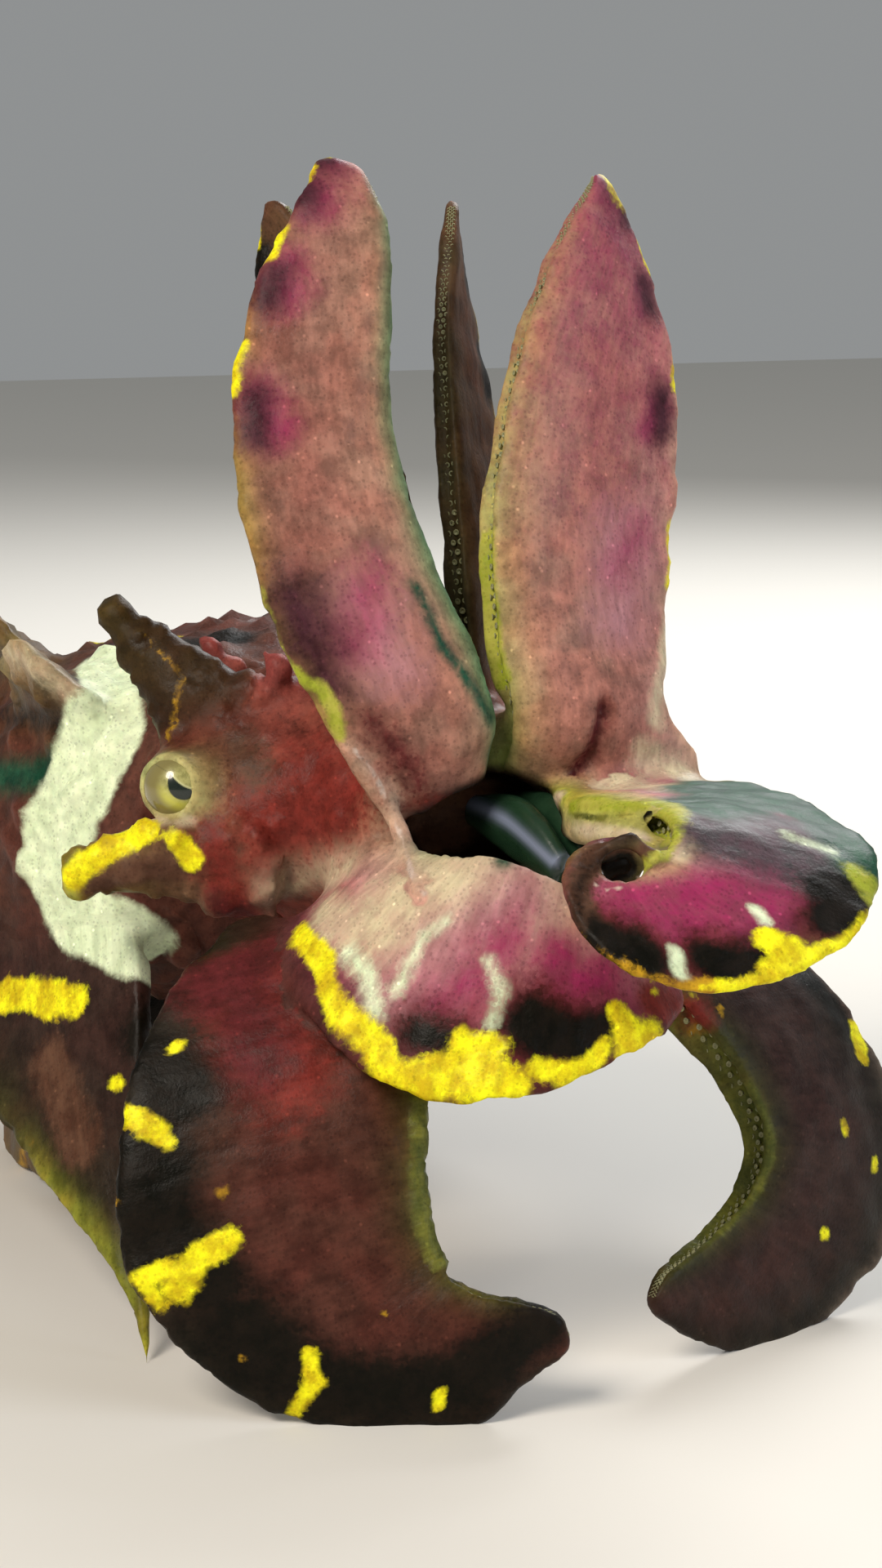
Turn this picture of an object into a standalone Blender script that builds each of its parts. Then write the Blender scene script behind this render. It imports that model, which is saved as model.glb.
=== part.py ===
"""A life-size flamboyant cuttlefish, walking on its fourth arms and on the two lobes under its mantle.

Every size is in millimetres. Places are taken from the mouth, in the middle of the crown of arms:
x runs to the animal's left, y backwards along the body and z up. The animal's right side is at -x.
"""

import math

import bmesh
import bpy
from mathutils import Matrix, Vector

MM = 0.001

# Driving sizes
MOUTH_HEIGHT = 43.0
MANTLE_LENGTH = 72.0
MANTLE_HALF_WIDTH = 27.0
MANTLE_BACK_RISE = 20.0
MANTLE_BELLY_DROP = 15.0
MANTLE_FRONT_Y = 24.0
MANTLE_FRONT_Z = -4.5
MANTLE_TAIL_Z = -17.0
HEAD_FRONT_Y = 1.5
HEAD_LENGTH = 33.0
EYE_CENTRE = (19.9, 17.0, 2.4)
EYE_RADIUS = 3.4
EYE_GAZE = (0.80, -0.58, 0.10)
LID_RADIUS = 2.9
LID_THICKNESS = 0.8
FIN_FRONT_CORNER = (28.5, 6.0, -44.0)
GAP = 0.32
MARGIN_THICKNESS = 0.9
SUCKER_RADIUS = 0.8
SUCKERS_IN_A_ROW = 7
FIRST_SUCKER, LAST_SUCKER = 0.08, 0.97
SUCKER_DISH = 0.22

# How many rings and ring points a form gets
MANTLE_RINGS, MANTLE_POINTS = 19, 26
HEAD_RINGS, HEAD_POINTS = 14, 26
FIN_RINGS, LOBE_RINGS = 22, 10
RINGS_IN_AN_ARM, LEAST_RINGS = 20, 5
PADDLE_RINGS, PADDLE_POINTS = 6, 8
FLAP_RINGS, FLAP_POINTS = 5, 10
EYE_SEGMENTS, EYE_RINGS = 14, 8
LID_SEGMENTS, LID_SIDES = 14, 6
SUCKER_SIDES = 5

# Where a blade's section is read, as shares of its width from the oral edge to the keel's margin
BLADE_SHARES = (0.0, 0.08, 0.26, 0.56, 0.9, 1.0)

# The stations of each arm, root to tip: a point of the oral edge, then one of the keel's margin.
# Where a pair is given once, it is the right arm, and the left one is its mirror image.
ARM_STATIONS = {
    "arm_1": (
        ((-1.6, 8.0, 5.0), (-7.0, 11.0, 7.0)),
        ((-1.3, 7.0, 12.0), (-7.5, 10.5, 13.0)),
        ((-1.5, 8.5, 21.0), (-9.0, 13.0, 21.5)),
        ((-2.4, 11.5, 31.0), (-10.5, 17.0, 31.0)),
        ((-4.0, 15.0, 40.0), (-10.5, 20.5, 40.0)),
        ((-6.2, 17.5, 46.5), (-9.6, 22.0, 47.5)),
        ((-8.0, 20.0, 50.0), (-9.0, 21.6, 50.5)),
    ),
    "arm_2_right": (
        ((-1.4, 3.0, 3.5), (-9.6, 2.0, -2.4)),
        ((-0.8, -1.0, 9.0), (-11.8, 1.0, 5.0)),
        ((-2.2, 0.5, 15.0), (-16.5, 2.5, 13.0)),
        ((-4.6, 3.5, 23.0), (-18.6, 5.5, 21.5)),
        ((-5.6, 6.5, 32.0), (-18.8, 9.0, 31.5)),
        ((-4.8, 8.0, 41.0), (-16.0, 11.5, 41.5)),
        ((-4.0, 9.5, 47.5), (-11.5, 13.0, 49.0)),
        ((-4.4, 12.0, 51.5), (-8.2, 14.5, 53.0)),
        ((-5.4, 14.5, 52.5), (-6.4, 15.6, 53.0)),
    ),
    "arm_2_left": (
        ((2.6, 2.6, 4.2), (21.4, -3.4, 2.0)),
        ((1.2, -1.0, 9.0), (15.4, -3.2, 8.4)),
        ((0.4, 0.2, 15.0), (16.8, -0.6, 14.0)),
        ((0.8, 2.0, 23.0), (18.8, 2.0, 22.0)),
        ((3.4, 4.4, 32.0), (21.4, 5.0, 31.0)),
        ((7.2, 6.6, 40.5), (22.0, 8.0, 40.5)),
        ((11.6, 8.6, 47.0), (20.6, 11.0, 47.6)),
        ((15.6, 10.6, 51.0), (18.8, 12.2, 51.6)),
        ((17.0, 12.0, 52.0), (18.0, 12.6, 52.4)),
    ),
    "arm_3_right": (
        ((-6.0, 4.0, -2.0), (-14.5, 6.5, -8.0)),
        ((-8.0, -2.5, -1.8), (-18.5, 0.5, -9.0)),
        ((-8.0, -7.5, -1.2), (-19.5, -4.0, -12.5)),
        ((-6.2, -11.5, -0.4), (-16.5, -12.5, -17.0)),
        ((-2.6, -14.5, -2.0), (-9.5, -18.8, -17.5)),
        ((1.6, -15.0, -5.0), (-0.8, -20.5, -15.2)),
        ((5.8, -13.8, -8.4), (6.8, -17.8, -13.2)),
        ((8.8, -11.6, -10.2), (9.8, -13.0, -11.6)),
    ),
    "arm_3_left": (
        ((6.4, 4.0, -2.6), (15.0, 6.0, -1.4)),
        ((5.4, -3.0, -0.4), (17.4, 0.0, 1.2)),
        ((4.0, -10.0, 1.6), (20.4, -8.0, 2.6)),
        ((4.0, -16.0, 2.4), (21.6, -17.0, 1.4)),
        ((3.6, -20.4, 2.2), (20.4, -25.4, -1.0)),
        ((1.4, -22.8, 0.4), (12.8, -31.4, -5.4)),
        ((-1.2, -22.8, -0.8), (1.4, -31.0, -8.0)),
        ((-2.8, -21.2, -0.7), (-5.8, -26.4, -5.2)),
        ((-2.4, -19.6, 0.5), (-6.4, -21.0, -0.4)),
        ((-0.9, -19.0, 1.2), (-2.6, -18.6, 2.0)),
        ((1.0, -19.4, 0.9), (0.4, -19.0, 1.8)),
    ),
    "arm_4_right": (
        ((-5.5, 4.0, -7.0), (-19.0, 9.0, -8.0)),
        ((-8.5, -1.0, -10.5), (-26.0, 5.0, -11.0)),
        ((-11.0, -6.0, -14.5), (-32.0, 1.0, -17.0)),
        ((-12.6, -9.6, -20.0), (-34.8, -2.0, -24.5)),
        ((-13.8, -11.6, -26.0), (-34.6, -4.5, -32.5)),
        ((-13.4, -14.0, -31.0), (-28.5, -8.6, -40.5)),
        ((-11.2, -17.0, -32.8), (-20.0, -13.6, -44.0)),
        ((-8.6, -19.0, -33.4), (-12.6, -17.6, -43.6)),
        ((-6.2, -20.4, -34.2), (-7.4, -20.0, -39.4)),
        ((-5.2, -21.0, -36.2), (-5.2, -21.0, -37.6)),
    ),
    "arm_4_left": (
        ((5.5, 4.0, -7.0), (19.0, 9.0, -8.0)),
        ((8.5, -1.0, -10.5), (26.0, 4.6, -10.6)),
        ((12.2, -7.0, -14.6), (33.0, -0.4, -16.0)),
        ((16.4, -10.0, -20.2), (36.6, -4.4, -23.4)),
        ((18.4, -12.0, -26.0), (36.6, -8.0, -31.2)),
        ((17.2, -12.4, -30.0), (32.6, -11.4, -38.0)),
        ((13.4, -13.4, -32.6), (25.4, -12.4, -43.6)),
        ((9.8, -14.4, -34.0), (17.0, -14.4, -44.0)),
        ((7.0, -15.2, -35.0), (9.8, -15.4, -41.0)),
        ((5.6, -15.8, -36.6), (5.9, -15.8, -38.0)),
    ),
}
# Thickness of each arm's muscle at the root and near the tip, and the station where it is divided
ARM_MUSCLE = {"arm_1": (3.6, 1.2), "arm_2": (4.4, 1.3), "arm_3": (4.6, 1.2), "arm_4": (5.4, 1.6)}
ARM_DIVIDED_AT = {"arm_1": (0.5,), "arm_2": (0.48,), "arm_3": (0.34, 0.66), "arm_4": (0.34, 0.66)}


def placed(x, y, z):
    """A point given from the mouth, in metres from the floor under the mouth."""
    return Vector((x, y, z + MOUTH_HEIGHT)) * MM


def mirrored(stations):
    """The same stations on the animal's other side."""
    return tuple(tuple((-x, y, z) for x, y, z in pair) for pair in stations)


def smooth_point(points, share):
    """The point at this share of a smooth curve through the points, evenly by their number."""
    spans = len(points) - 1
    at = min(max(share, 0.0), 1.0) * spans
    first = min(int(at), spans - 1)
    t = at - first
    a, b, c, d = (
        Vector(points[min(max(first + step, 0), spans)]) for step in (-1, 0, 1, 2)
    )
    return 0.5 * (
        2 * b + (c - a) * t + (2 * a - 5 * b + 4 * c - d) * t * t + (3 * b - 3 * c + d - a) * t**3
    )


def blended(values, share):
    """A value read from evenly spaced ones by the same smooth curve."""
    return smooth_point([(value, 0, 0) for value in values], share).x


def material(name, colour, roughness):
    """A plain finish for the solids."""
    made = bpy.data.materials.get(name) or bpy.data.materials.new(name)
    made.use_nodes = True
    shader = made.node_tree.nodes["Principled BSDF"]
    shader.inputs["Base Color"].default_value = (*colour, 1.0)
    shader.inputs["Roughness"].default_value = roughness
    shader.inputs["Metallic"].default_value = 0.0
    return made


def lofted(name, rings, finish, dish=0.0):
    """A closed skin over rings of points in millimetres. Both halves of a ring are split alike.
    A dish sinks the middle of the last ring's cap, as a share of the way to the first ring."""
    skin = bmesh.new()
    loops = [[skin.verts.new(placed(*point)) for point in ring] for ring in rings]
    count = len(rings[0])
    for low, high in zip(loops, loops[1:]):
        for k in range(count):
            after = (k + 1) % count
            a, b, c, d = low[k], low[after], high[after], high[k]
            if k < count // 2:
                skin.faces.new((a, b, c))
                skin.faces.new((a, c, d))
            else:
                skin.faces.new((a, b, d))
                skin.faces.new((b, c, d))
    ends = [sum((vert.co for vert in ring), Vector()) / count for ring in (loops[0], loops[-1])]
    for ring, centre in ((loops[0][::-1], ends[0]), (loops[-1], ends[1].lerp(ends[0], dish))):
        middle = skin.verts.new(centre)
        for k in range(count):
            skin.faces.new((ring[k], ring[(k + 1) % count], middle))
    bmesh.ops.recalc_face_normals(skin, faces=skin.faces)
    if skin.calc_volume(signed=True) < 0:
        bmesh.ops.reverse_faces(skin, faces=skin.faces)
    mesh = bpy.data.meshes.new(name)
    skin.to_mesh(mesh)
    skin.free()
    mesh.shade_smooth()
    made = bpy.data.objects.new(name, mesh)
    made.data.materials.append(finish)
    ANIMAL.objects.link(made)
    return made


def applied(shape):
    """Makes the object's modifiers part of its mesh."""
    bpy.context.view_layer.update()
    graph = bpy.context.evaluated_depsgraph_get()
    mesh = bpy.data.meshes.new_from_object(shape.evaluated_get(graph))
    shape.modifiers.clear()
    shape.data = mesh
    return shape


def keep_largest(shape):
    """Drops loose scraps and sealed hollows, so that the largest closed surface is left."""
    skin = bmesh.new()
    skin.from_mesh(shape.data)
    left = set(skin.verts)
    pieces = []
    while left:
        piece = {left.pop()}
        edge_of_search = list(piece)
        while edge_of_search:
            vert = edge_of_search.pop()
            for edge in vert.link_edges:
                other = edge.other_vert(vert)
                if other not in piece:
                    piece.add(other)
                    edge_of_search.append(other)
        left -= piece
        pieces.append(piece)
    pieces.sort(key=len)
    for piece in pieces[:-1]:
        bmesh.ops.delete(skin, geom=list(piece), context="VERTS")
    skin.to_mesh(shape.data)
    skin.free()
    return shape


def boolean(shape, others, operation, solver="MANIFOLD"):
    """One Boolean of the object with several closed ones, which are then removed."""
    group = bpy.data.collections.new(shape.name + "_pieces")
    bpy.context.scene.collection.children.link(group)
    for other in others:
        ANIMAL.objects.unlink(other)
        group.objects.link(other)
    modifier = shape.modifiers.new("join", "BOOLEAN")
    modifier.operation = operation
    modifier.operand_type = "COLLECTION"
    modifier.collection = group
    modifier.solver = solver
    applied(shape)
    for other in others:
        bpy.data.objects.remove(other)
    bpy.data.collections.remove(group)
    return keep_largest(shape)


def fused(shape, others):
    """Joins pieces whose roots are sunk into the shape."""
    return boolean(shape, others, "UNION") if others else shape


def cleared(shape, others):
    """Cuts the shape back from its neighbours, leaving the gap that separate pieces keep."""
    return boolean(shape, [grown(other, GAP) for other in others], "DIFFERENCE")


def grown(shape, by):
    """A copy of the shape with its skin moved out."""
    copy = shape.copy()
    copy.data = shape.data.copy()
    ANIMAL.objects.link(copy)
    skin = bmesh.new()
    skin.from_mesh(copy.data)
    skin.normal_update()
    moves = [vert.normal * by * MM * min(vert.calc_shell_factor(), 1.5) for vert in skin.verts]
    for vert, move in zip(skin.verts, moves):
        vert.co += move
    skin.to_mesh(copy.data)
    skin.free()
    return copy


def bump(distance, reach):
    """1 at the middle of a round swelling, falling smoothly to 0 at its reach."""
    return math.exp(-((distance / reach) ** 2) * 2.0)


def mantle_ring(share, points=MANTLE_POINTS, grow=0.0):
    """One ring of the mantle, from its front lip (0) to the tail (1)."""
    width = MANTLE_HALF_WIDTH * blended((0.76, 0.90, 0.985, 1.0, 0.97, 0.88, 0.73, 0.50, 0.12), share)
    rise = MANTLE_BACK_RISE * blended((0.80, 0.93, 1.0, 1.0, 0.95, 0.85, 0.68, 0.44, 0.10), share)
    drop = MANTLE_BELLY_DROP * blended((0.86, 0.98, 1.0, 1.0, 0.96, 0.86, 0.70, 0.48, 0.12), share)
    y = MANTLE_FRONT_Y + MANTLE_LENGTH * share
    z = MANTLE_FRONT_Z + (MANTLE_TAIL_Z - MANTLE_FRONT_Z) * share
    ring = []
    for k in range(points):
        angle = 2 * math.pi * k / points
        across, along = math.cos(angle), math.sin(angle)
        squarish = 1.0 + 0.05 * math.sin(2 * angle) ** 2
        height = rise if along > 0 else drop
        ring.append(((width + grow) * across * squarish, y, z + (height + grow) * along * squarish))
    return ring


def mantle_side(share, angle, lift=0.0):
    """A point on the mantle's skin, at an angle up from its left side, lifted off it."""
    ring = mantle_ring(share, 360, lift)
    return Vector(ring[round(math.degrees(angle)) % 360])


def paddle(name, path, half_widths, half_thicknesses, across, finish, rings=PADDLE_RINGS, points=PADDLE_POINTS):
    """A tapered limb of oval section: a papilla, a tentacle or a funnel."""
    loops = []
    across = Vector(across).normalized()
    for k in range(rings):
        share = k / (rings - 1)
        middle = smooth_point(path, share)
        ahead = smooth_point(path, min(share + 0.02, 1.0)) - smooth_point(path, max(share - 0.02, 0.0))
        ahead.normalize()
        side = (across - ahead * across.dot(ahead)).normalized()
        front = ahead.cross(side)
        wide = blended(half_widths, share)
        thick = blended(half_thicknesses, share)
        loops.append(
            [
                middle
                + side * wide * math.cos(2 * math.pi * step / points)
                + front * thick * math.sin(2 * math.pi * step / points)
                for step in range(points)
            ]
        )
    return lofted(name, loops, finish)


def blade_frame(stations, share, muscle):
    """Where a blade's section lies: its oral edge, the ways out to its margin, across its face and
    along it, its width, and the thickness of its muscle."""
    oral_edge = [pair[0] for pair in stations]
    margins = [pair[1] for pair in stations]
    oral, keel = smooth_point(oral_edge, share), smooth_point(margins, share)
    before, after = max(share - 0.01, 0.0), min(share + 0.01, 1.0)
    ahead = smooth_point(oral_edge, after) - smooth_point(oral_edge, before)
    ahead += smooth_point(margins, after) - smooth_point(margins, before)
    width = (keel - oral).length
    outward = (keel - oral).normalized()
    face = ahead.cross(outward).normalized()
    body = min(muscle[0] + (muscle[1] - muscle[0]) * share, 0.8 * width)
    return oral, outward, face, outward.cross(face), width, body


def blade_ring(stations, share, muscle, margin, shift=0.0):
    """One ring of a blade-like limb: thick at its oral edge, thin at the keel's margin."""
    oral, outward, face, along, width, body = blade_frame(stations, share, muscle)
    edge = min(margin, body)
    front, back = [], []
    for at in BLADE_SHARES:
        half = 0.5 * (edge + (body - edge) * (1 - at) ** 1.5)
        if at == BLADE_SHARES[0]:
            half *= 0.62
        if at == BLADE_SHARES[-1]:
            half *= 0.55
        middle = oral + outward * width * at + along * shift
        front.append(middle + face * half)
        back.append(middle - face * half)
    return front + back[::-1]


def blade(name, stations, muscle, margin, finish, rings, start=0.0, end=1.0):
    """A length of a blade-like limb, from one share of its stations to another."""
    loops = []
    for k in range(rings):
        share = start + (end - start) * k / (rings - 1)
        shift = 0.0
        if k == 0 and start > 0:
            shift = GAP / 2
        if k == rings - 1 and end < 1:
            shift = -GAP / 2
        loops.append(blade_ring(stations, share, muscle, margin, shift))
    return lofted(name, loops, finish)


def make_head(finish):
    """The head, from the neck inside the mantle to the crown that carries the arms."""
    widths = (11.0, 12.0, 13.6, 15.2, 16.0, 15.6, 14.8, 14.2, 14.0)
    rises = (8.4, 9.6, 11.2, 12.2, 12.6, 12.2, 11.4, 10.8, 10.4)
    drops = (9.4, 10.4, 11.4, 12.0, 12.0, 11.6, 11.2, 10.8, 10.4)
    loops = []
    for k in range(HEAD_RINGS):
        share = k / (HEAD_RINGS - 1)
        y = HEAD_FRONT_Y + HEAD_LENGTH * share
        wide, rise, drop = (blended(sizes, share) for sizes in (widths, rises, drops))
        ring = []
        for step in range(HEAD_POINTS):
            angle = 2 * math.pi * step / HEAD_POINTS
            x = wide * math.cos(angle)
            z = (rise if math.sin(angle) > 0 else drop) * math.sin(angle) - 2.0 * share
            off = math.hypot(y - EYE_CENTRE[1], z - EYE_CENTRE[2])
            swell = 4.6 * bump(off, 8.0)
            ring.append((x + math.copysign(swell, x) * abs(math.cos(angle)), y, z))
        loops.append(ring)
    return lofted("head", loops, finish)


def make_eye(name, side, finish):
    """An eyeball."""
    centre = placed(EYE_CENTRE[0] * side, EYE_CENTRE[1], EYE_CENTRE[2])
    bpy.ops.mesh.primitive_uv_sphere_add(
        segments=EYE_SEGMENTS, ring_count=EYE_RINGS, radius=EYE_RADIUS * MM, location=centre
    )
    eye = bpy.context.object
    eye.name = name
    eye.data.name = name
    eye.data.transform(eye.matrix_world)
    eye.matrix_world.identity()
    eye.data.materials.append(finish)
    eye.data.shade_smooth()
    for holder in eye.users_collection:
        holder.objects.unlink(eye)
    ANIMAL.objects.link(eye)
    return eye


def make_lid(side, finish):
    """The fold of skin round an eye, a ring about the way it looks."""
    gaze = Vector((EYE_GAZE[0] * side, EYE_GAZE[1], EYE_GAZE[2])).normalized()
    depth = math.sqrt(EYE_RADIUS**2 - LID_RADIUS**2)
    centre = placed(EYE_CENTRE[0] * side, EYE_CENTRE[1], EYE_CENTRE[2]) + gaze * (depth - 0.3) * MM
    bpy.ops.mesh.primitive_torus_add(
        major_segments=LID_SEGMENTS,
        minor_segments=LID_SIDES,
        major_radius=(LID_RADIUS + 0.35) * MM,
        minor_radius=LID_THICKNESS * MM,
        location=centre,
        rotation=gaze.to_track_quat("Z", "Y").to_euler(),
    )
    lid = bpy.context.object
    lid.data.transform(lid.matrix_world)
    lid.matrix_world.identity()
    lid.data.materials.append(finish)
    for holder in lid.users_collection:
        holder.objects.unlink(lid)
    ANIMAL.objects.link(lid)
    return lid


def head_papillae(side, finish):
    """The horn over each eye and the flap under it."""
    brow = paddle(
        "brow",
        [(13.5 * side, 17.5, 4.0), (17.0 * side, 21.5, 10.0), (18.4 * side, 27.0, 17.5)],
        (7.2, 5.0, 0.9),
        (2.8, 1.8, 0.7),
        (-0.8 * side, -0.6, 0.0),
        finish,
    )
    cheek = paddle(
        "cheek",
        [(14.0 * side, 10.5, -4.4), (21.0 * side, 15.5, -3.6), (27.4 * side, 20.8, -5.2)],
        (4.6, 3.2, 1.5),
        (2.6, 1.9, 1.2),
        (0.05 * side, 0.1, -1.0),
        finish,
    )
    return [brow, cheek]


def dorsal_flaps(finish):
    """The big flaps of skin on the mantle's back, in pairs, and the small one over the tail."""
    rows = ((0.20, 1.02, 9.5, 6.4), (0.47, 0.92, 12.0, 8.4), (0.74, 0.98, 9.0, 6.0))
    flaps = []
    for side in (-1, 1):
        for share, angle, tall, half_width in rows:
            root = mantle_side(share, angle if side > 0 else math.pi - angle, -2.5)
            out = mantle_side(share, angle if side > 0 else math.pi - angle, 1.0) - root
            out.normalize()
            lean = Vector((0.25 * side, 0.35, 0.55))
            top = root + out * tall * 0.6 + lean * tall * 0.7
            middle = (root + top) / 2 + out * 1.4
            flaps.append(
                paddle(
                    f"flap_{side}_{share}",
                    [root, middle, top],
                    (half_width, half_width * 0.98, half_width * 0.3),
                    (2.0, 1.2, 0.45),
                    (-0.25 * side, 1.0, -0.3),
                    finish,
                    FLAP_RINGS,
                    FLAP_POINTS,
                )
            )
    tail = mantle_side(0.93, math.pi / 2, -2.0)
    flaps.append(
        paddle(
            "flap_tail",
            [tail, tail + Vector((0, 3.5, 3.5)), tail + Vector((0, 8.5, 5.0))],
            (3.6, 2.8, 0.7),
            (1.6, 1.1, 0.5),
            (1, 0, 0),
            finish,
        )
    )
    return flaps


def fin_stations(side):
    """The fin's root along the mantle's side, and its free margin. The right one's front hangs to the floor."""
    corner = Vector(FIN_FRONT_CORNER)
    corner.x *= side
    stations = []
    count = 13
    for k in range(count):
        share = 0.03 + 0.93 * k / (count - 1)
        angle = -0.34
        angle = angle if side > 0 else math.pi - angle
        root = mantle_side(share, angle, -1.5)
        wide = 9.0 * blended((0.35, 0.9, 1.0, 1.0, 1.0, 0.9, 0.4), k / (count - 1))
        wave = math.sin(2 * math.pi * 2.6 * k / (count - 1) + (0.6 if side < 0 else 2.2))
        sag = Vector((side * 0.86, 0.12, -0.5 + 0.26 * wave))
        margin = root + sag.normalized() * (wide + 1.5)
        hanging = max(0.0, 1 - k / (0.42 * (count - 1))) ** 0.85 if side < 0 else 0.0
        stations.append((tuple(root), tuple(margin.lerp(corner, hanging))))
    return stations


def lobe_stations(side):
    """A walking lobe under the mantle, from front to back: its root, and the margin it stands on."""
    rows = (
        (0.26, 13.0, 42.0, -31.0),
        (0.30, 15.5, 42.5, -39.0),
        (0.37, 17.0, 46.0, -44.2),
        (0.48, 17.0, 52.0, -42.4),
        (0.58, 16.5, 59.0, -42.4),
        (0.68, 15.0, 67.0, -44.2),
        (0.76, 13.0, 73.0, -39.0),
        (0.80, 11.0, 75.0, -32.0),
    )
    stations = []
    for share, x, y, z in rows:
        root = mantle_side(share, -1.12 if side > 0 else math.pi + 1.12, -2.0)
        stations.append((tuple(root), (x * side, y, z)))
    return stations


def level_floor(shape):
    """Cuts off what would reach under the floor, which leaves small flats to stand on."""
    skin = bmesh.new()
    skin.from_mesh(shape.data)
    geometry = skin.verts[:] + skin.edges[:] + skin.faces[:]
    cut = bmesh.ops.bisect_plane(
        skin, geom=geometry, dist=1e-7, plane_co=(0, 0, 0), plane_no=(0, 0, -1), clear_outer=True
    )
    edges = [item for item in cut["geom_cut"] if isinstance(item, bmesh.types.BMEdge)]
    if edges:
        bmesh.ops.holes_fill(skin, edges=edges, sides=0)
        bmesh.ops.triangulate(skin, faces=skin.faces)
    skin.to_mesh(shape.data)
    skin.free()
    return shape


def make_sucker(middle, outward, across, radius, finish):
    """A shallow cup on a short foot, with the foot's end sunk in the arm."""
    beside = outward.cross(across)
    loops = []
    for wide, high in ((0.8, -1.1), (1.0, 0.7)):
        ring = []
        for step in range(SUCKER_SIDES):
            turn = 2 * math.pi * step / SUCKER_SIDES
            spoke = across * math.cos(turn) + beside * math.sin(turn)
            ring.append(middle + outward * high * radius + spoke * wide * radius)
        loops.append(ring)
    return lofted("sucker", loops, finish, SUCKER_DISH)


def suckers_between(stations, muscle, start, end, finish):
    """The suckers of one length of an arm: two rows along its oral edge, smaller to the tip."""
    made = []
    for k in range(SUCKERS_IN_A_ROW):
        for row in (-1, 1):
            share = FIRST_SUCKER + (LAST_SUCKER - FIRST_SUCKER) * (k + 0.25 * (1 + row)) / SUCKERS_IN_A_ROW
            radius = SUCKER_RADIUS * (1 - 0.55 * share)
            clear = 1.3 * radius / 50
            if not start + clear < share < end - clear:
                continue
            oral, outward, face, _, _, body = blade_frame(stations, share, muscle)
            reach = 0.36 * body
            middle = oral + outward * reach * 0.3 + face * row * reach * 0.75
            axis = (face * row * 0.75 - outward).normalized()
            across = axis.cross(face.cross(outward)).normalized()
            made.append(make_sucker(middle, axis, across, radius, finish))
    return made


def make_arm(name, stations, muscle, divisions, finish):
    """The lengths of one arm, root first, each with its suckers."""
    cuts = (0.0, *divisions, 1.0)
    lengths = []
    for part, (start, end) in enumerate(zip(cuts, cuts[1:])):
        label = ("root", "middle", "tip")[part] if len(cuts) > 3 else ("root", "tip")[part]
        rings = max(LEAST_RINGS, round((end - start) * RINGS_IN_AN_ARM))
        length = blade(f"{name}_{label}", stations, muscle, MARGIN_THICKNESS, finish, rings, start, end)
        fused(length, suckers_between(stations, muscle, start, end, finish))
        lengths.append(length)
    return lengths


def set_on_middle():
    """Moves the animal so that the origin is on the floor, under the middle of its box."""
    bpy.context.view_layer.update()
    corners = [vert.co for shape in ANIMAL.objects for vert in shape.data.vertices]
    middle = Vector((0.0, 0.0, 0.0))
    for axis in (0, 1):
        places = [corner[axis] for corner in corners]
        middle[axis] = (min(places) + max(places)) / 2
    for shape in ANIMAL.objects:
        shape.data.transform(Matrix.Translation(-middle))
    print("the mouth stands over", [round(-place / MM, 3) for place in middle])


for leftover in list(bpy.data.objects):
    bpy.data.objects.remove(leftover)
ANIMAL = bpy.data.collections.new("cuttlefish")
bpy.context.scene.collection.children.link(ANIMAL)


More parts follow.
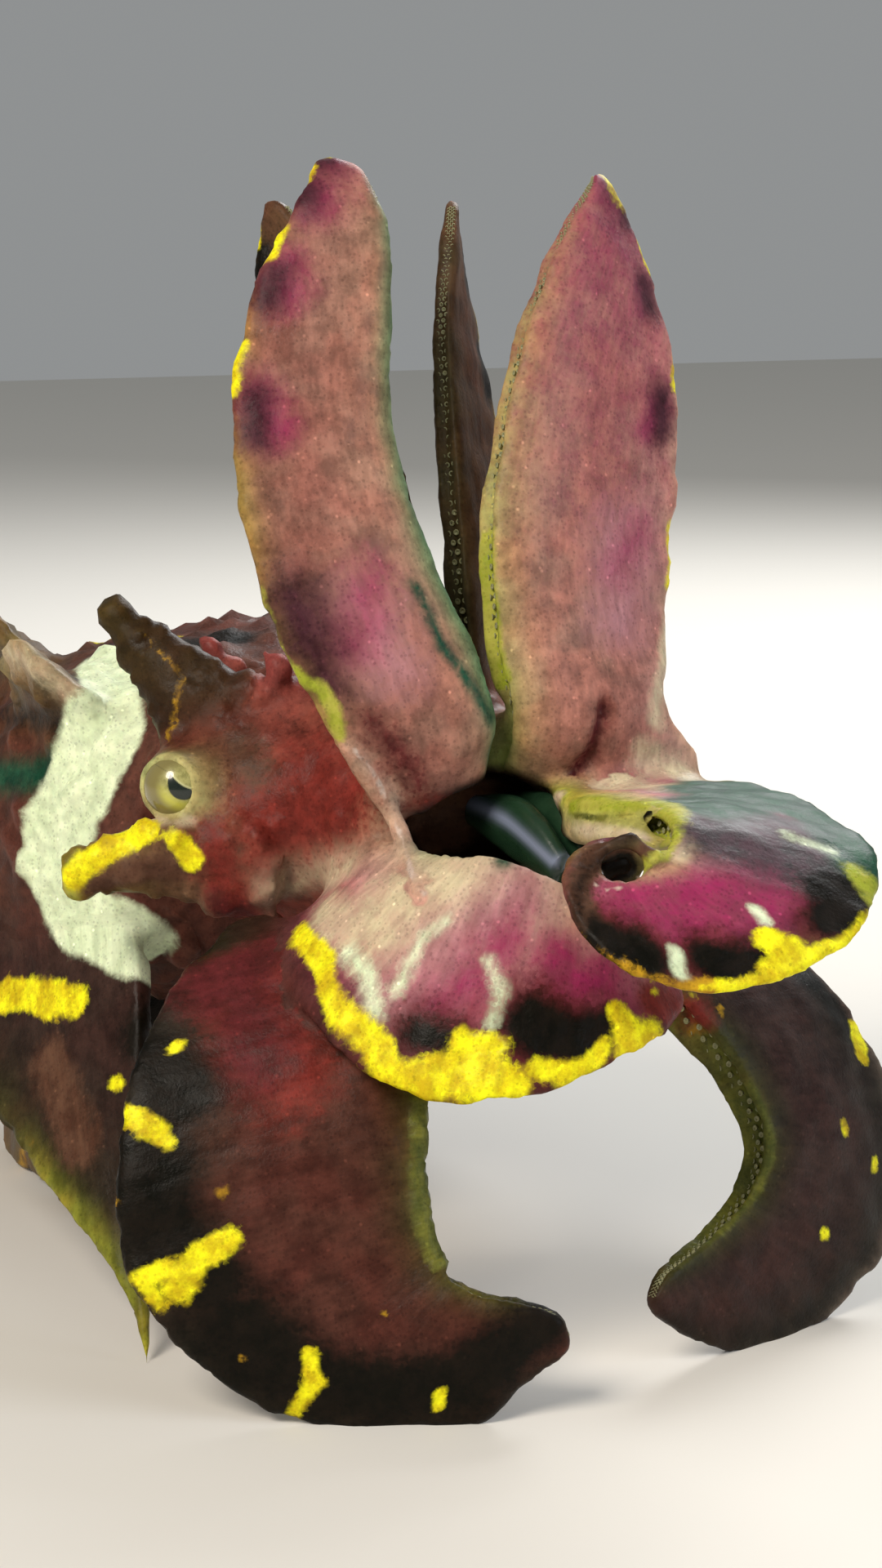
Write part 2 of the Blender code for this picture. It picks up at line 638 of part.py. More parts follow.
def main():
    mantle_skin = material("mantle_skin", (0.20, 0.085, 0.07), 0.45)
    head_skin = material("head_skin", (0.33, 0.11, 0.09), 0.45)
    arm_skin = material("arm_skin", (0.42, 0.12, 0.17), 0.42)
    fin_skin = material("fin_skin", (0.55, 0.50, 0.16), 0.40)
    club_skin = material("club_skin", (0.10, 0.14, 0.15), 0.25)
    eye_shine = material("eye_shine", (0.55, 0.55, 0.25), 0.12)

    mantle = lofted("mantle", [mantle_ring(k / (MANTLE_RINGS - 1)) for k in range(MANTLE_RINGS)], mantle_skin)
    fused(mantle, dorsal_flaps(mantle_skin))
    head = make_head(head_skin)
    eyes = [make_eye("eye_right", -1, eye_shine), make_eye("eye_left", 1, eye_shine)]
    growths = []
    for side in (-1, 1):
        growths += head_papillae(side, head_skin)
        growths.append(make_lid(side, head_skin))
    fused(head, growths)
    cleared(head, eyes)
    cleared(mantle, [head])

    for side, label in ((-1, "right"), (1, "left")):
        fin = blade(f"fin_{label}", fin_stations(side), (2.6, 1.6), 0.9, fin_skin, FIN_RINGS)
        cleared(fin, [mantle])
        level_floor(fin)
        lobe = blade(f"lobe_{label}", lobe_stations(side), (6.0, 5.0), 2.2, mantle_skin, LOBE_RINGS)
        cleared(lobe, [mantle])
        level_floor(lobe)

    funnel = paddle(
        "funnel",
        [(0, 30, -15.5), (0, 20, -15.8), (0, 12, -15.0), (0, 5.5, -16.0)],
        (6.4, 5.8, 4.4, 3.0),
        (4.2, 3.8, 3.2, 2.4),
        (1, 0, 0),
        head_skin,
        rings=8,
        points=14,
    )
    cleared(funnel, [head, mantle])

    arms = []
    for side, label in ((-1, "right"), (1, "left")):
        for pair in ("arm_1", "arm_2", "arm_3", "arm_4"):
            stations = ARM_STATIONS.get(f"{pair}_{label}")
            if not stations:
                stations = ARM_STATIONS[pair] if side < 0 else mirrored(ARM_STATIONS[pair])
            arms += make_arm(f"{pair}_{label}", stations, ARM_MUSCLE[pair], ARM_DIVIDED_AT[pair], arm_skin)
    for arm in arms:
        if arm.name.endswith("_root"):
            cleared(arm, [head])
        if arm.name.startswith("arm_4"):
            level_floor(arm)
    for label in ("right", "left"):
        for upper, lower in (("arm_1", "arm_2"), ("arm_2", "arm_3"), ("arm_3", "arm_4")):
            cleared(bpy.data.objects[f"{lower}_{label}_root"], [bpy.data.objects[f"{upper}_{label}_root"]])

    for side, label in ((-1, "right"), (1, "left")):
        paddle(
            f"tentacle_{label}",
            [(1.6 + 1.5 * side, 4.0, 0.6), (1.9 + 1.5 * side, -2.0, 0.2), (2.2 + 1.45 * side, -7.5, -2.0)],
            (1.2, 1.3, 0.6),
            (1.6, 2.6, 0.9),
            (1, 0, 0),
            club_skin,
            rings=9,
            points=12,
        )
    for label in ("right", "left"):
        cleared(bpy.data.objects[f"tentacle_{label}"], [head])
    set_on_middle()


main()
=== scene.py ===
"""A life-size flamboyant cuttlefish on its fourth arms and belly lobes: skin, eyes, suckers and clubs.

Sizes are in millimetres and places are taken from the mouth, as in the part's own drawing:
x runs to the animal's left, y backwards along the body and z up. The animal's right side is at -x.
"""

import math
from functools import partial

import bmesh
import bpy
import numpy as np
from mathutils import Matrix, Vector, kdtree, noise


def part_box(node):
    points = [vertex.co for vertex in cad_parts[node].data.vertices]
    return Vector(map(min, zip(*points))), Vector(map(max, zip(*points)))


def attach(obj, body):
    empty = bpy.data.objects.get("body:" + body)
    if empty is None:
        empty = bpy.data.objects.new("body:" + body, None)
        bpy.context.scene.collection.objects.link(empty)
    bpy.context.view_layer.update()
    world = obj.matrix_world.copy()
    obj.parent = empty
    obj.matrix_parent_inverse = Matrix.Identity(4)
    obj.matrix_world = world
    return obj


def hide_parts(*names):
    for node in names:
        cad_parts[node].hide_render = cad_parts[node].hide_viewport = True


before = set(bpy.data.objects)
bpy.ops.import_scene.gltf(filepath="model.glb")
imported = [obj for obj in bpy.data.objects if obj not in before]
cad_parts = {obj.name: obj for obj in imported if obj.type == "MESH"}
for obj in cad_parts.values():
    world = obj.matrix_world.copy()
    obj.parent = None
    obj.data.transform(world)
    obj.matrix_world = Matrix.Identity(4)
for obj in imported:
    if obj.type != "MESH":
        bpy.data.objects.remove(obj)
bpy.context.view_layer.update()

MM = 0.001
SIDES = ((-1, "right"), (1, "left"))
MOUTH_HEIGHT = 43.0
EYE_CENTRE = (19.9, 17.0, 2.4)
EYE_RADIUS = 3.0
EYE_GAZE = (0.80, -0.58, 0.10)
LID_RADIUS, LID_THICKNESS = 2.42, 0.48
VOXEL = 0.3
QUICK_TRIANGLES = 60000
SKIN_TRIANGLES = 190000
# Steps that smooth the joins, the flow along the forms and the colours: a finer skin takes more of them
JOIN_STEPS, FLOW_STEPS, COLOUR_STEPS = (
    round(steps * SKIN_TRIANGLES / QUICK_TRIANGLES) for steps in (40, 4, 12)
)

eye_low, eye_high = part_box("eye_right")
MOUTH = np.array((eye_low + eye_high) / 2) - np.array(EYE_CENTRE) * (-1, 1, 1) * MM
MOUTH[2] = MOUTH_HEIGHT * MM

# The mantle: its size, then how wide, high and deep it is from its front lip to the tail
MANTLE_LENGTH, MANTLE_FRONT_Y, MANTLE_FRONT_Z, MANTLE_TAIL_Z = 72.0, 24.0, -4.5, -17.0
MANTLE_SIZES = (27.0, 20.0, 15.0)
MANTLE_PROFILES = (
    (0.76, 0.90, 0.985, 1.0, 0.97, 0.88, 0.73, 0.50, 0.12),
    (0.80, 0.93, 1.0, 1.0, 0.95, 0.85, 0.68, 0.44, 0.10),
    (0.86, 0.98, 1.0, 1.0, 0.96, 0.86, 0.70, 0.48, 0.12),
)
# The head's half width, rise and drop from the crown to the neck
HEAD_FRONT_Y, HEAD_LENGTH = 1.5, 33.0
HEAD_PROFILES = (
    (11.0, 12.0, 13.6, 15.2, 16.0, 15.6, 14.8, 14.2, 14.0),
    (8.4, 9.6, 11.2, 12.2, 12.6, 12.2, 11.4, 10.8, 10.4),
    (9.4, 10.4, 11.4, 12.0, 12.0, 11.6, 11.2, 10.8, 10.4),
)

# The stations of each arm, root to tip: a point of the oral edge, then one of the keel's margin
ARM_STATIONS = {
    "arm_1": (
        ((-1.6, 8.0, 5.0), (-7.0, 11.0, 7.0)),
        ((-1.3, 7.0, 12.0), (-7.5, 10.5, 13.0)),
        ((-1.5, 8.5, 21.0), (-9.0, 13.0, 21.5)),
        ((-2.4, 11.5, 31.0), (-10.5, 17.0, 31.0)),
        ((-4.0, 15.0, 40.0), (-10.5, 20.5, 40.0)),
        ((-6.2, 17.5, 46.5), (-9.6, 22.0, 47.5)),
        ((-8.0, 20.0, 50.0), (-9.0, 21.6, 50.5)),
    ),
    "arm_2_right": (
        ((-1.4, 3.0, 3.5), (-9.6, 2.0, -2.4)),
        ((-0.8, -1.0, 9.0), (-11.8, 1.0, 5.0)),
        ((-2.2, 0.5, 15.0), (-16.5, 2.5, 13.0)),
        ((-4.6, 3.5, 23.0), (-18.6, 5.5, 21.5)),
        ((-5.6, 6.5, 32.0), (-18.8, 9.0, 31.5)),
        ((-4.8, 8.0, 41.0), (-16.0, 11.5, 41.5)),
        ((-4.0, 9.5, 47.5), (-11.5, 13.0, 49.0)),
        ((-4.4, 12.0, 51.5), (-8.2, 14.5, 53.0)),
        ((-5.4, 14.5, 52.5), (-6.4, 15.6, 53.0)),
    ),
    "arm_2_left": (
        ((2.6, 2.6, 4.2), (21.4, -3.4, 2.0)),
        ((1.2, -1.0, 9.0), (15.4, -3.2, 8.4)),
        ((0.4, 0.2, 15.0), (16.8, -0.6, 14.0)),
        ((0.8, 2.0, 23.0), (18.8, 2.0, 22.0)),
        ((3.4, 4.4, 32.0), (21.4, 5.0, 31.0)),
        ((7.2, 6.6, 40.5), (22.0, 8.0, 40.5)),
        ((11.6, 8.6, 47.0), (20.6, 11.0, 47.6)),
        ((15.6, 10.6, 51.0), (18.8, 12.2, 51.6)),
        ((17.0, 12.0, 52.0), (18.0, 12.6, 52.4)),
    ),
    "arm_3_right": (
        ((-6.0, 4.0, -2.0), (-14.5, 6.5, -8.0)),
        ((-8.0, -2.5, -1.8), (-18.5, 0.5, -9.0)),
        ((-8.0, -7.5, -1.2), (-19.5, -4.0, -12.5)),
        ((-6.2, -11.5, -0.4), (-16.5, -12.5, -17.0)),
        ((-2.6, -14.5, -2.0), (-9.5, -18.8, -17.5)),
        ((1.6, -15.0, -5.0), (-0.8, -20.5, -15.2)),
        ((5.8, -13.8, -8.4), (6.8, -17.8, -13.2)),
        ((8.8, -11.6, -10.2), (9.8, -13.0, -11.6)),
    ),
    "arm_3_left": (
        ((6.4, 4.0, -2.6), (15.0, 6.0, -1.4)),
        ((5.4, -3.0, -0.4), (17.4, 0.0, 1.2)),
        ((4.0, -10.0, 1.6), (20.4, -8.0, 2.6)),
        ((4.0, -16.0, 2.4), (21.6, -17.0, 1.4)),
        ((3.6, -20.4, 2.2), (20.4, -25.4, -1.0)),
        ((1.4, -22.8, 0.4), (12.8, -31.4, -5.4)),
        ((-1.2, -22.8, -0.8), (1.4, -31.0, -8.0)),
        ((-2.8, -21.2, -0.7), (-5.8, -26.4, -5.2)),
        ((-2.4, -19.6, 0.5), (-6.4, -21.0, -0.4)),
        ((-0.9, -19.0, 1.2), (-2.6, -18.6, 2.0)),
        ((1.0, -19.4, 0.9), (0.4, -19.0, 1.8)),
    ),
    "arm_4_right": (
        ((-5.5, 4.0, -7.0), (-19.0, 9.0, -8.0)),
        ((-8.5, -1.0, -10.5), (-26.0, 5.0, -11.0)),
        ((-11.0, -6.0, -14.5), (-32.0, 1.0, -17.0)),
        ((-12.6, -9.6, -20.0), (-34.8, -2.0, -24.5)),
        ((-13.8, -11.6, -26.0), (-34.6, -4.5, -32.5)),
        ((-13.4, -14.0, -31.0), (-28.5, -8.6, -40.5)),
        ((-11.2, -17.0, -32.8), (-20.0, -13.6, -44.0)),
        ((-8.6, -19.0, -33.4), (-12.6, -17.6, -43.6)),
        ((-6.2, -20.4, -34.2), (-7.4, -20.0, -39.4)),
        ((-5.2, -21.0, -36.2), (-5.2, -21.0, -37.6)),
    ),
    "arm_4_left": (
        ((5.5, 4.0, -7.0), (19.0, 9.0, -8.0)),
        ((8.5, -1.0, -10.5), (26.0, 4.6, -10.6)),
        ((12.2, -7.0, -14.6), (33.0, -0.4, -16.0)),
        ((16.4, -10.0, -20.2), (36.6, -4.4, -23.4)),
        ((18.4, -12.0, -26.0), (36.6, -8.0, -31.2)),
        ((17.2, -12.4, -30.0), (32.6, -11.4, -38.0)),
        ((13.4, -13.4, -32.6), (25.4, -12.4, -43.6)),
        ((9.8, -14.4, -34.0), (17.0, -14.4, -44.0)),
        ((7.0, -15.2, -35.0), (9.8, -15.4, -41.0)),
        ((5.6, -15.8, -36.6), (5.9, -15.8, -38.0)),
    ),
}
ARM_MUSCLE = {"arm_1": (3.6, 1.2), "arm_2": (4.4, 1.3), "arm_3": (4.6, 1.2), "arm_4": (5.4, 1.6)}
# How far each face of an arm swells out between its edges, in millimetres
ARM_SWELL = {"arm_1": 0.8, "arm_2": 2.2, "arm_3": 0.7, "arm_4": 1.0}
MARGIN_THICKNESS = 0.9

# Half of a blade's section, from the bottom of the groove over the lip to the keel's margin:
# share of the width, depth and half thickness as shares of the muscle's
GROOVED_SECTION = (
    (0.0, 0.26, 0.0),
    (0.0, 0.23, 0.22),
    (0.0, 0.10, 0.40),
    (0.0, -0.04, 0.52),
    (0.0, -0.09, 0.64),
    (0.0, -0.04, 0.78),
    (0.0, 0.08, 0.88),
    (0.06, 0.0, 0.96),
    (0.12, 0.0, 1.0),
    (0.20, 0.0, 1.0),
    (0.30, 0.0, 1.0),
    (0.41, 0.0, 1.0),
    (0.53, 0.0, 1.0),
    (0.65, 0.0, 1.0),
    (0.76, 0.0, 1.0),
    (0.86, 0.0, 1.0),
    (0.94, 0.0, 0.96),
    (0.985, 0.0, 0.70),
    (1.0, 0.0, 0.0),
)
PLAIN_SECTION = ((0.0, -0.05, 0.0), (0.0, -0.02, 0.35), (0.0, 0.08, 0.7)) + GROOVED_SECTION[7:]


def curve_through(points, shares):
    """Points of a smooth curve through the given ones, evenly by their number."""
    points = np.asarray(points, float)
    spans = len(points) - 1
    at = np.clip(shares, 0.0, 1.0) * spans
    first = np.minimum(at.astype(int), spans - 1)
    t = (at - first).reshape((-1,) + (1,) * (points.ndim - 1))
    a, b, c, d = (points[np.clip(first + step, 0, spans)] for step in (-1, 0, 1, 2))
    return 0.5 * (2 * b + (c - a) * t + (2 * a - 5 * b + 4 * c - d) * t * t + (3 * b - 3 * c + d - a) * t**3)


def unit(vectors):
    return vectors / np.maximum(np.linalg.norm(vectors, axis=-1, keepdims=True), 1e-9)


def to_side(points, side):
    """Points of one side as they are (1), or mirrored to the other side (-1)."""
    return np.asarray(points, float) * (side, 1, 1)


def on_side(angle, side):
    """An angle up from the animal's left side (1), or the same one up from its right side (-1)."""
    return angle if side > 0 else math.pi - angle


def ring_turns(count):
    return 2 * math.pi * np.arange(count) / count


def nothing_selected():
    if bpy.context.object and bpy.context.object.mode != "OBJECT":
        bpy.ops.object.mode_set(mode="OBJECT")
    bpy.ops.object.select_all(action="DESELECT")


def only(piece):
    """Makes this piece the one that the next operator works on."""
    nothing_selected()
    piece.select_set(True)
    bpy.context.view_layer.objects.active = piece
    return piece


def apply_modifier(piece, kind, **settings):
    only(piece)
    modifier = piece.modifiers.new(kind.lower(), kind)
    # Switched off in the view, it is worked out once, when it is applied
    modifier.show_viewport = False
    for name, value in settings.items():
        setattr(modifier, name, value)
    bpy.ops.object.modifier_apply(modifier=modifier.name)


def new_object(name, data):
    made = bpy.data.objects.new(name, data)
    bpy.context.scene.collection.objects.link(made)
    return made


def read(items, name, width, kind=np.float32):
    """A row of this many numbers for each of a mesh's points, edges or triangles."""
    values = np.empty(len(items) * width, kind)
    items.foreach_get(name, values)
    return values.reshape(-1, width)


def vertex_places(piece):
    return read(piece.data.vertices, "co", 3).astype(float)


def places_from_mouth(piece):
    return (vertex_places(piece) - MOUTH) / MM


def set_places(piece, places):
    """Moves the piece's points to these places, in millimetres from the mouth."""
    piece.data.vertices.foreach_set("co", np.asarray(places * MM + MOUTH, np.float32).ravel())
    piece.data.update()


def keep_values(piece, name, values):
    """Keeps four numbers for each point, which a material reads by this name."""
    layer = piece.data.attributes.new(name, "FLOAT_COLOR", "POINT")
    layer.data.foreach_set("color", np.stack(values, axis=-1).astype(np.float32).ravel())


def select_where(piece, chosen, kind="EDGE"):
    """Goes into edit mode with the chosen edges or faces selected."""
    only(piece)
    bpy.ops.object.mode_set(mode="EDIT")
    bpy.ops.mesh.select_mode(type=kind)
    bpy.ops.mesh.select_all(action="DESELECT")
    mesh = bmesh.from_edit_mesh(piece.data)
    for item in mesh.edges if kind == "EDGE" else mesh.faces:
        if chosen(item):
            item.select_set(True)
    mesh.select_flush_mode()
    bmesh.update_edit_mesh(piece.data)


plain_tubes = {}


def plain_tube(around, along):
    """A closed cylinder, cut across by subdividing its upright edges. Each size is made once, then copied."""
    if (around, along) not in plain_tubes:
        nothing_selected()
        bpy.ops.mesh.primitive_cylinder_add(vertices=around, radius=1.0, depth=1.0, end_fill_type="TRIFAN")
        made = bpy.context.object
        select_where(made, lambda edge: abs(edge.verts[0].co.z - edge.verts[1].co.z) > 0.5)
        bpy.ops.mesh.subdivide(number_cuts=along - 2)
        bpy.ops.object.mode_set(mode="OBJECT")
        plain_tubes[around, along] = made.data
        bpy.data.objects.remove(made)
    return plain_tubes[around, along].copy()


def tube(name, rings):
    """A closed form over rings of points, with a centre at each end, shaped from a plain tube."""
    rings = np.asarray(rings, float)
    along, around = rings.shape[:2]
    piece = new_object(name, plain_tube(around, along))
    places = vertex_places(piece)
    # The points of Blender's cylinder are numbered by their angle from +y
    turn = np.round(np.arctan2(places[:, 0], places[:, 1]) / (2 * math.pi) * around).astype(int) % around
    row = np.round((places[:, 2] + 0.5) * (along - 1)).astype(int)
    moved = rings[row, turn]
    at_axis = np.hypot(places[:, 0], places[:, 1]) < 0.5
    moved[at_axis] = rings[row[at_axis]].mean(axis=1)
    set_places(piece, moved)
    if signed_volume(moved, piece.data) < 0:
        piece.data.flip_normals()
    return piece


def signed_volume(places, mesh):
    """Above zero where the faces of a closed mesh point outwards."""
    mesh.calc_loop_triangles()
    a, b, c = (places[corners] for corners in read(mesh.loop_triangles, "vertices", 3, np.int32).T)
    return float(np.einsum("ij,ij->i", a, np.cross(b, c)).sum())


def blade_frame(stations, shares, muscle):
    """Where the sections of a blade lie: oral edge, ways out, across its face and along, width, thickness."""
    stations = np.asarray(stations, float)
    oral, keel = curve_through(stations[:, 0], shares), curve_through(stations[:, 1], shares)
    before, after = np.maximum(shares - 0.01, 0.0), np.minimum(shares + 0.01, 1.0)
    ahead = curve_through(stations.sum(axis=1), after) - curve_through(stations.sum(axis=1), before)
    width = np.linalg.norm(keel - oral, axis=1)
    outward = unit(keel - oral)
    face = unit(np.cross(ahead, outward))
    body = np.minimum(muscle[0] + (muscle[1] - muscle[0]) * shares, 0.8 * width)
    return oral, outward, face, width, body


def wave(places, scale, seed, axis=0):
    """A smooth value between about -1 and 1 at each place, repeating over this many millimetres."""
    offset = Vector((seed * 7.31, seed * 3.17, axis * 11.9))
    return np.array([noise.noise(Vector(place) / scale + offset) for place in places])


# A blade swells and ruffles in full where it is this many millimetres wide
FULL_SWELL_WIDTH, FULL_RUFFLE_WIDTH = 14.0, 6.0
# How many millimetres apart the waves, the notches and the fine notches of a margin are
RUFFLE_WAVES, RUFFLE_NOTCHES, FINE_NOTCHES = 4.5, 2.4, 0.9


def blade_rings(stations, muscle, margin, section, rings, ruffle=0.0, seed=0, swell=0.0):
    """The rings of a blade-like limb. Its margin is ruffled and its faces swell by these millimetres."""
    shares = np.linspace(0.0, 1.0, rings)
    oral, outward, face, width, body = blade_frame(stations, shares, muscle)
    edge = np.minimum(margin, body)
    keel = oral + outward * width[:, None]
    loops = []
    halves = []
    for at, depth, half_share in section:
        half = 0.5 * (edge + (body - edge) * (1 - at) ** 1.5) * half_share
        swollen = np.minimum(width / FULL_SWELL_WIDTH, 1.0)
        half = half + swell * math.sin(math.pi * at**0.8) * swollen * (1 - 0.7 * shares)
        loose = np.clip((at - 0.55) / 0.45, 0.0, 1.0) ** 2
        loops.append(oral + outward * (width * at + body * depth)[:, None])
        if ruffle and loose > 0:
            fade = loose * np.minimum(width / FULL_RUFFLE_WIDTH, 1.0) * ruffle
            notches = wave(keel, RUFFLE_NOTCHES, seed + 1) + 0.6 * wave(keel, FINE_NOTCHES, seed + 2)
            loops[-1] += face * (wave(keel, RUFFLE_WAVES, seed) * 1.3 * fade)[:, None]
            loops[-1] += outward * (notches * 0.8 * fade)[:, None]
        halves.append(half)
    front = [loop + face * half[:, None] for loop, half in zip(loops, halves)]
    back = [loop - face * half[:, None] for loop, half in zip(loops, halves)]
    return np.stack(front + back[-2:0:-1], axis=1)


def mantle_rings(shares, points, lift=0.0):
    """Rings of the mantle, from its front lip (0) to the tail (1)."""
    wide, rise, drop = (
        size * curve_through(np.array(profile), shares)[:, None] + lift
        for size, profile in zip(MANTLE_SIZES, MANTLE_PROFILES)
    )
    across, up = np.cos(ring_turns(points)), np.sin(ring_turns(points))
    squarish = 1.0 + 0.05 * np.sin(2 * ring_turns(points)) ** 2
    y = np.repeat((MANTLE_FRONT_Y + MANTLE_LENGTH * shares)[:, None], points, axis=1)
    middle_z = (MANTLE_FRONT_Z + (MANTLE_TAIL_Z - MANTLE_FRONT_Z) * shares)[:, None]
    z = middle_z + np.where(up > 0, rise, drop) * up * squarish
    return np.stack((wide * across * squarish, y, z), axis=2)


def mantle_side(share, angle, lift=0.0):
    """A point on the mantle's skin, at an angle up from its left side, lifted off it."""
    return mantle_rings(np.array([share]), 360, lift)[0][round(math.degrees(angle)) % 360]


def bump(distance, reach):
    return np.exp(-((distance / reach) ** 2) * 2.0)


def head_rings(rings, points):
    """Rings of the head, from the crown that carries the arms back to the neck inside the mantle."""
    shares = np.linspace(0.0, 1.0, rings)
    wide, rise, drop = (curve_through(np.array(profile), shares)[:, None] for profile in HEAD_PROFILES)
    across, up = np.cos(ring_turns(points)), np.sin(ring_turns(points))
    y = np.repeat((HEAD_FRONT_Y + HEAD_LENGTH * shares)[:, None], points, axis=1)
    z = np.where(up > 0, rise, drop) * up - 2.0 * shares[:, None]
    swell = 4.6 * bump(np.hypot(y - EYE_CENTRE[1], z - EYE_CENTRE[2]), 8.0)
    x = wide * across
    x = x + np.sign(x) * swell * np.abs(across)
    return np.stack((x, y, z), axis=2)


def limb_rings(path, half_widths, half_thicknesses, across, rings, points, crinkle=0.0, seed=0):
    """Rings of a tapered limb of oval section: a papilla, a flap, a club or the funnel."""
    shares = np.linspace(0.0, 1.0, rings)
    middle = curve_through(path, shares)
    after, before = (curve_through(path, np.clip(shares + step, 0, 1)) for step in (0.02, -0.02))
    ahead = unit(after - before)
    across = unit(np.asarray(across, float))
    side = unit(across - ahead * (ahead @ across)[:, None])
    front = np.cross(ahead, side)
    wide = curve_through(np.array(half_widths, float), shares)
    thick = curve_through(np.array(half_thicknesses, float), shares)
    turns = ring_turns(points)
    loops = (
        middle[:, None]
        + side[:, None] * (wide[:, None] * np.cos(turns))[..., None]
        + front[:, None] * (thick[:, None] * np.sin(turns))[..., None]
    )
    if crinkle:
        reach = np.cos(turns)[None, :, None] * side[:, None] * (wide * shares)[:, None, None] / wide.max()
        flat = loops.reshape(-1, 3)
        ripple = wave(flat, 2.6, seed).reshape(rings, points)[..., None]
        loops = loops + front[:, None] * ripple * crinkle * shares[:, None, None] + reach * ripple * crinkle
    return loops


sources = {}


def arm_forms():
    for side, label in SIDES:
        for number, (pair, muscle) in enumerate(ARM_MUSCLE.items()):
            name, seed, swell = f"{pair}_{label}", 10 * number + side, ARM_SWELL[pair]
            # The first arms are alike, and their stations are those of the right one
            stations = ARM_STATIONS.get(name, to_side(ARM_STATIONS["arm_1"], -side))
            rings = blade_rings(stations, muscle, MARGIN_THICKNESS, GROOVED_SECTION, 100, 0.5, seed, swell)
            sources[name] = (tube(name, rings), rings, stations, muscle)


def eye_gaze(side):
    return unit(to_side(EYE_GAZE, side))


def eye_centre(side):
    return to_side(EYE_CENTRE, side)


def add_source(name, rings):
    sources[name] = (tube(name, rings), rings, None, None)


# The horn over each eye and the cheek under it: the path on the left side, its half widths and half
# thicknesses, the way across it, how crinkled it is and the seed of the crinkles
HORNS = {
    "brow": (((13.5, 18.5, 4.0), (17.2, 22.0, 10.0), (21.4, 28.8, 16.8)), (6.6, 3.6, 0.9), (3.0, 2.0, 0.7),
        (-0.8, -0.6, 0.0), 0.5, 3),
    "cheek": (((14.0, 10.5, -4.2), (21.4, 15.6, -3.4), (28.6, 21.4, -4.8)), (4.6, 3.3, 1.6), (2.4, 1.7, 1.2),
        (0.05, 0.1, -1.0), 0.4, 6),
}
# The thorns on the head behind the raised arms: where each stands on the left side, and its height
THORNS = ((10.5, 15.5, 10.4, 2.8), (7.0, 12.5, 10.8, 2.3), (12.6, 23.0, 10.8, 3.0))


def head_forms():
    add_source("head", head_rings(70, 72))
    path = [(0, 30, -15.5), (0, 20, -15.8), (0, 12, -15.0), (0, 5.5, -16.0)]
    add_source("funnel", limb_rings(path, (6.4, 5.8, 4.4, 3.0), (4.2, 3.8, 3.2, 2.4), (1, 0, 0), 40, 32))
    for side, label in SIDES:
        for name, (path, widths, depths, across, crinkle, seed) in HORNS.items():
            path, across = to_side(path, side), to_side(across, side)
            rings = limb_rings(path, widths, depths, across, 44, 30, crinkle, seed + side)
            add_source(f"{name}_{label}", rings)
        for number, (x, y, z, tall) in enumerate(THORNS):
            thorn = [(x, y, z - 1.6), (x * 1.08, y + 0.4, z + tall * 0.4), (x * 1.16, y + 1.0, z + tall)]
            path, seed = to_side(thorn, side), 9 + number + side
            rings = limb_rings(path, (1.9, 0.9, 0.3), (1.5, 0.8, 0.3), (1, 0, 0), 24, 16, 0.2, seed)
            add_source(f"thorn_{number}_{label}", rings)
        gaze = eye_gaze(side)
        centre = eye_centre(side)
        # The socket is a short stalk that holds the eyeball up to its lid
        socket = [centre - gaze * 3.2, centre - gaze * 0.6, centre + gaze * 1.5]
        widths = (4.4, 3.6, 2.75)
        add_source(f"socket_{label}", limb_rings(socket, widths, widths, (0, 0, 1), 30, 40))
        nothing_selected()
        bpy.ops.mesh.primitive_torus_add(
            major_segments=72,
            minor_segments=20,
            major_radius=LID_RADIUS * MM,
            minor_radius=LID_THICKNESS * MM,
            location=(centre + gaze * 1.65) * MM + MOUTH,
            rotation=Vector(gaze).to_track_quat("Z", "Y").to_euler(),
        )
        lid = bpy.context.object
        lid.name = f"lid_{label}"
        bpy.ops.object.transform_apply(location=True, rotation=True, scale=True)
        sources[f"lid_{label}"] = (lid, places_from_mouth(lid), None, None)


def web_forms():
    """The thin edge of the web that joins the raised right arm to the one held out below it."""
    edge = [(-13.4, 1.2, 8.0), (-12.2, -0.1, 6.0), (-9.8, -0.6, 2.5), (-9.6, -3.0, -0.4), (-12.0, -9.2, -2.8)]
    widths = (0.4, 0.75, 0.8, 0.75, 0.4)
    add_source("web_right", limb_rings(edge, widths, widths, (1, 0, 0), 60, 18))
    add_source("web_left", limb_rings(to_side(edge, -1), widths, widths, (1, 0, 0), 60, 18))


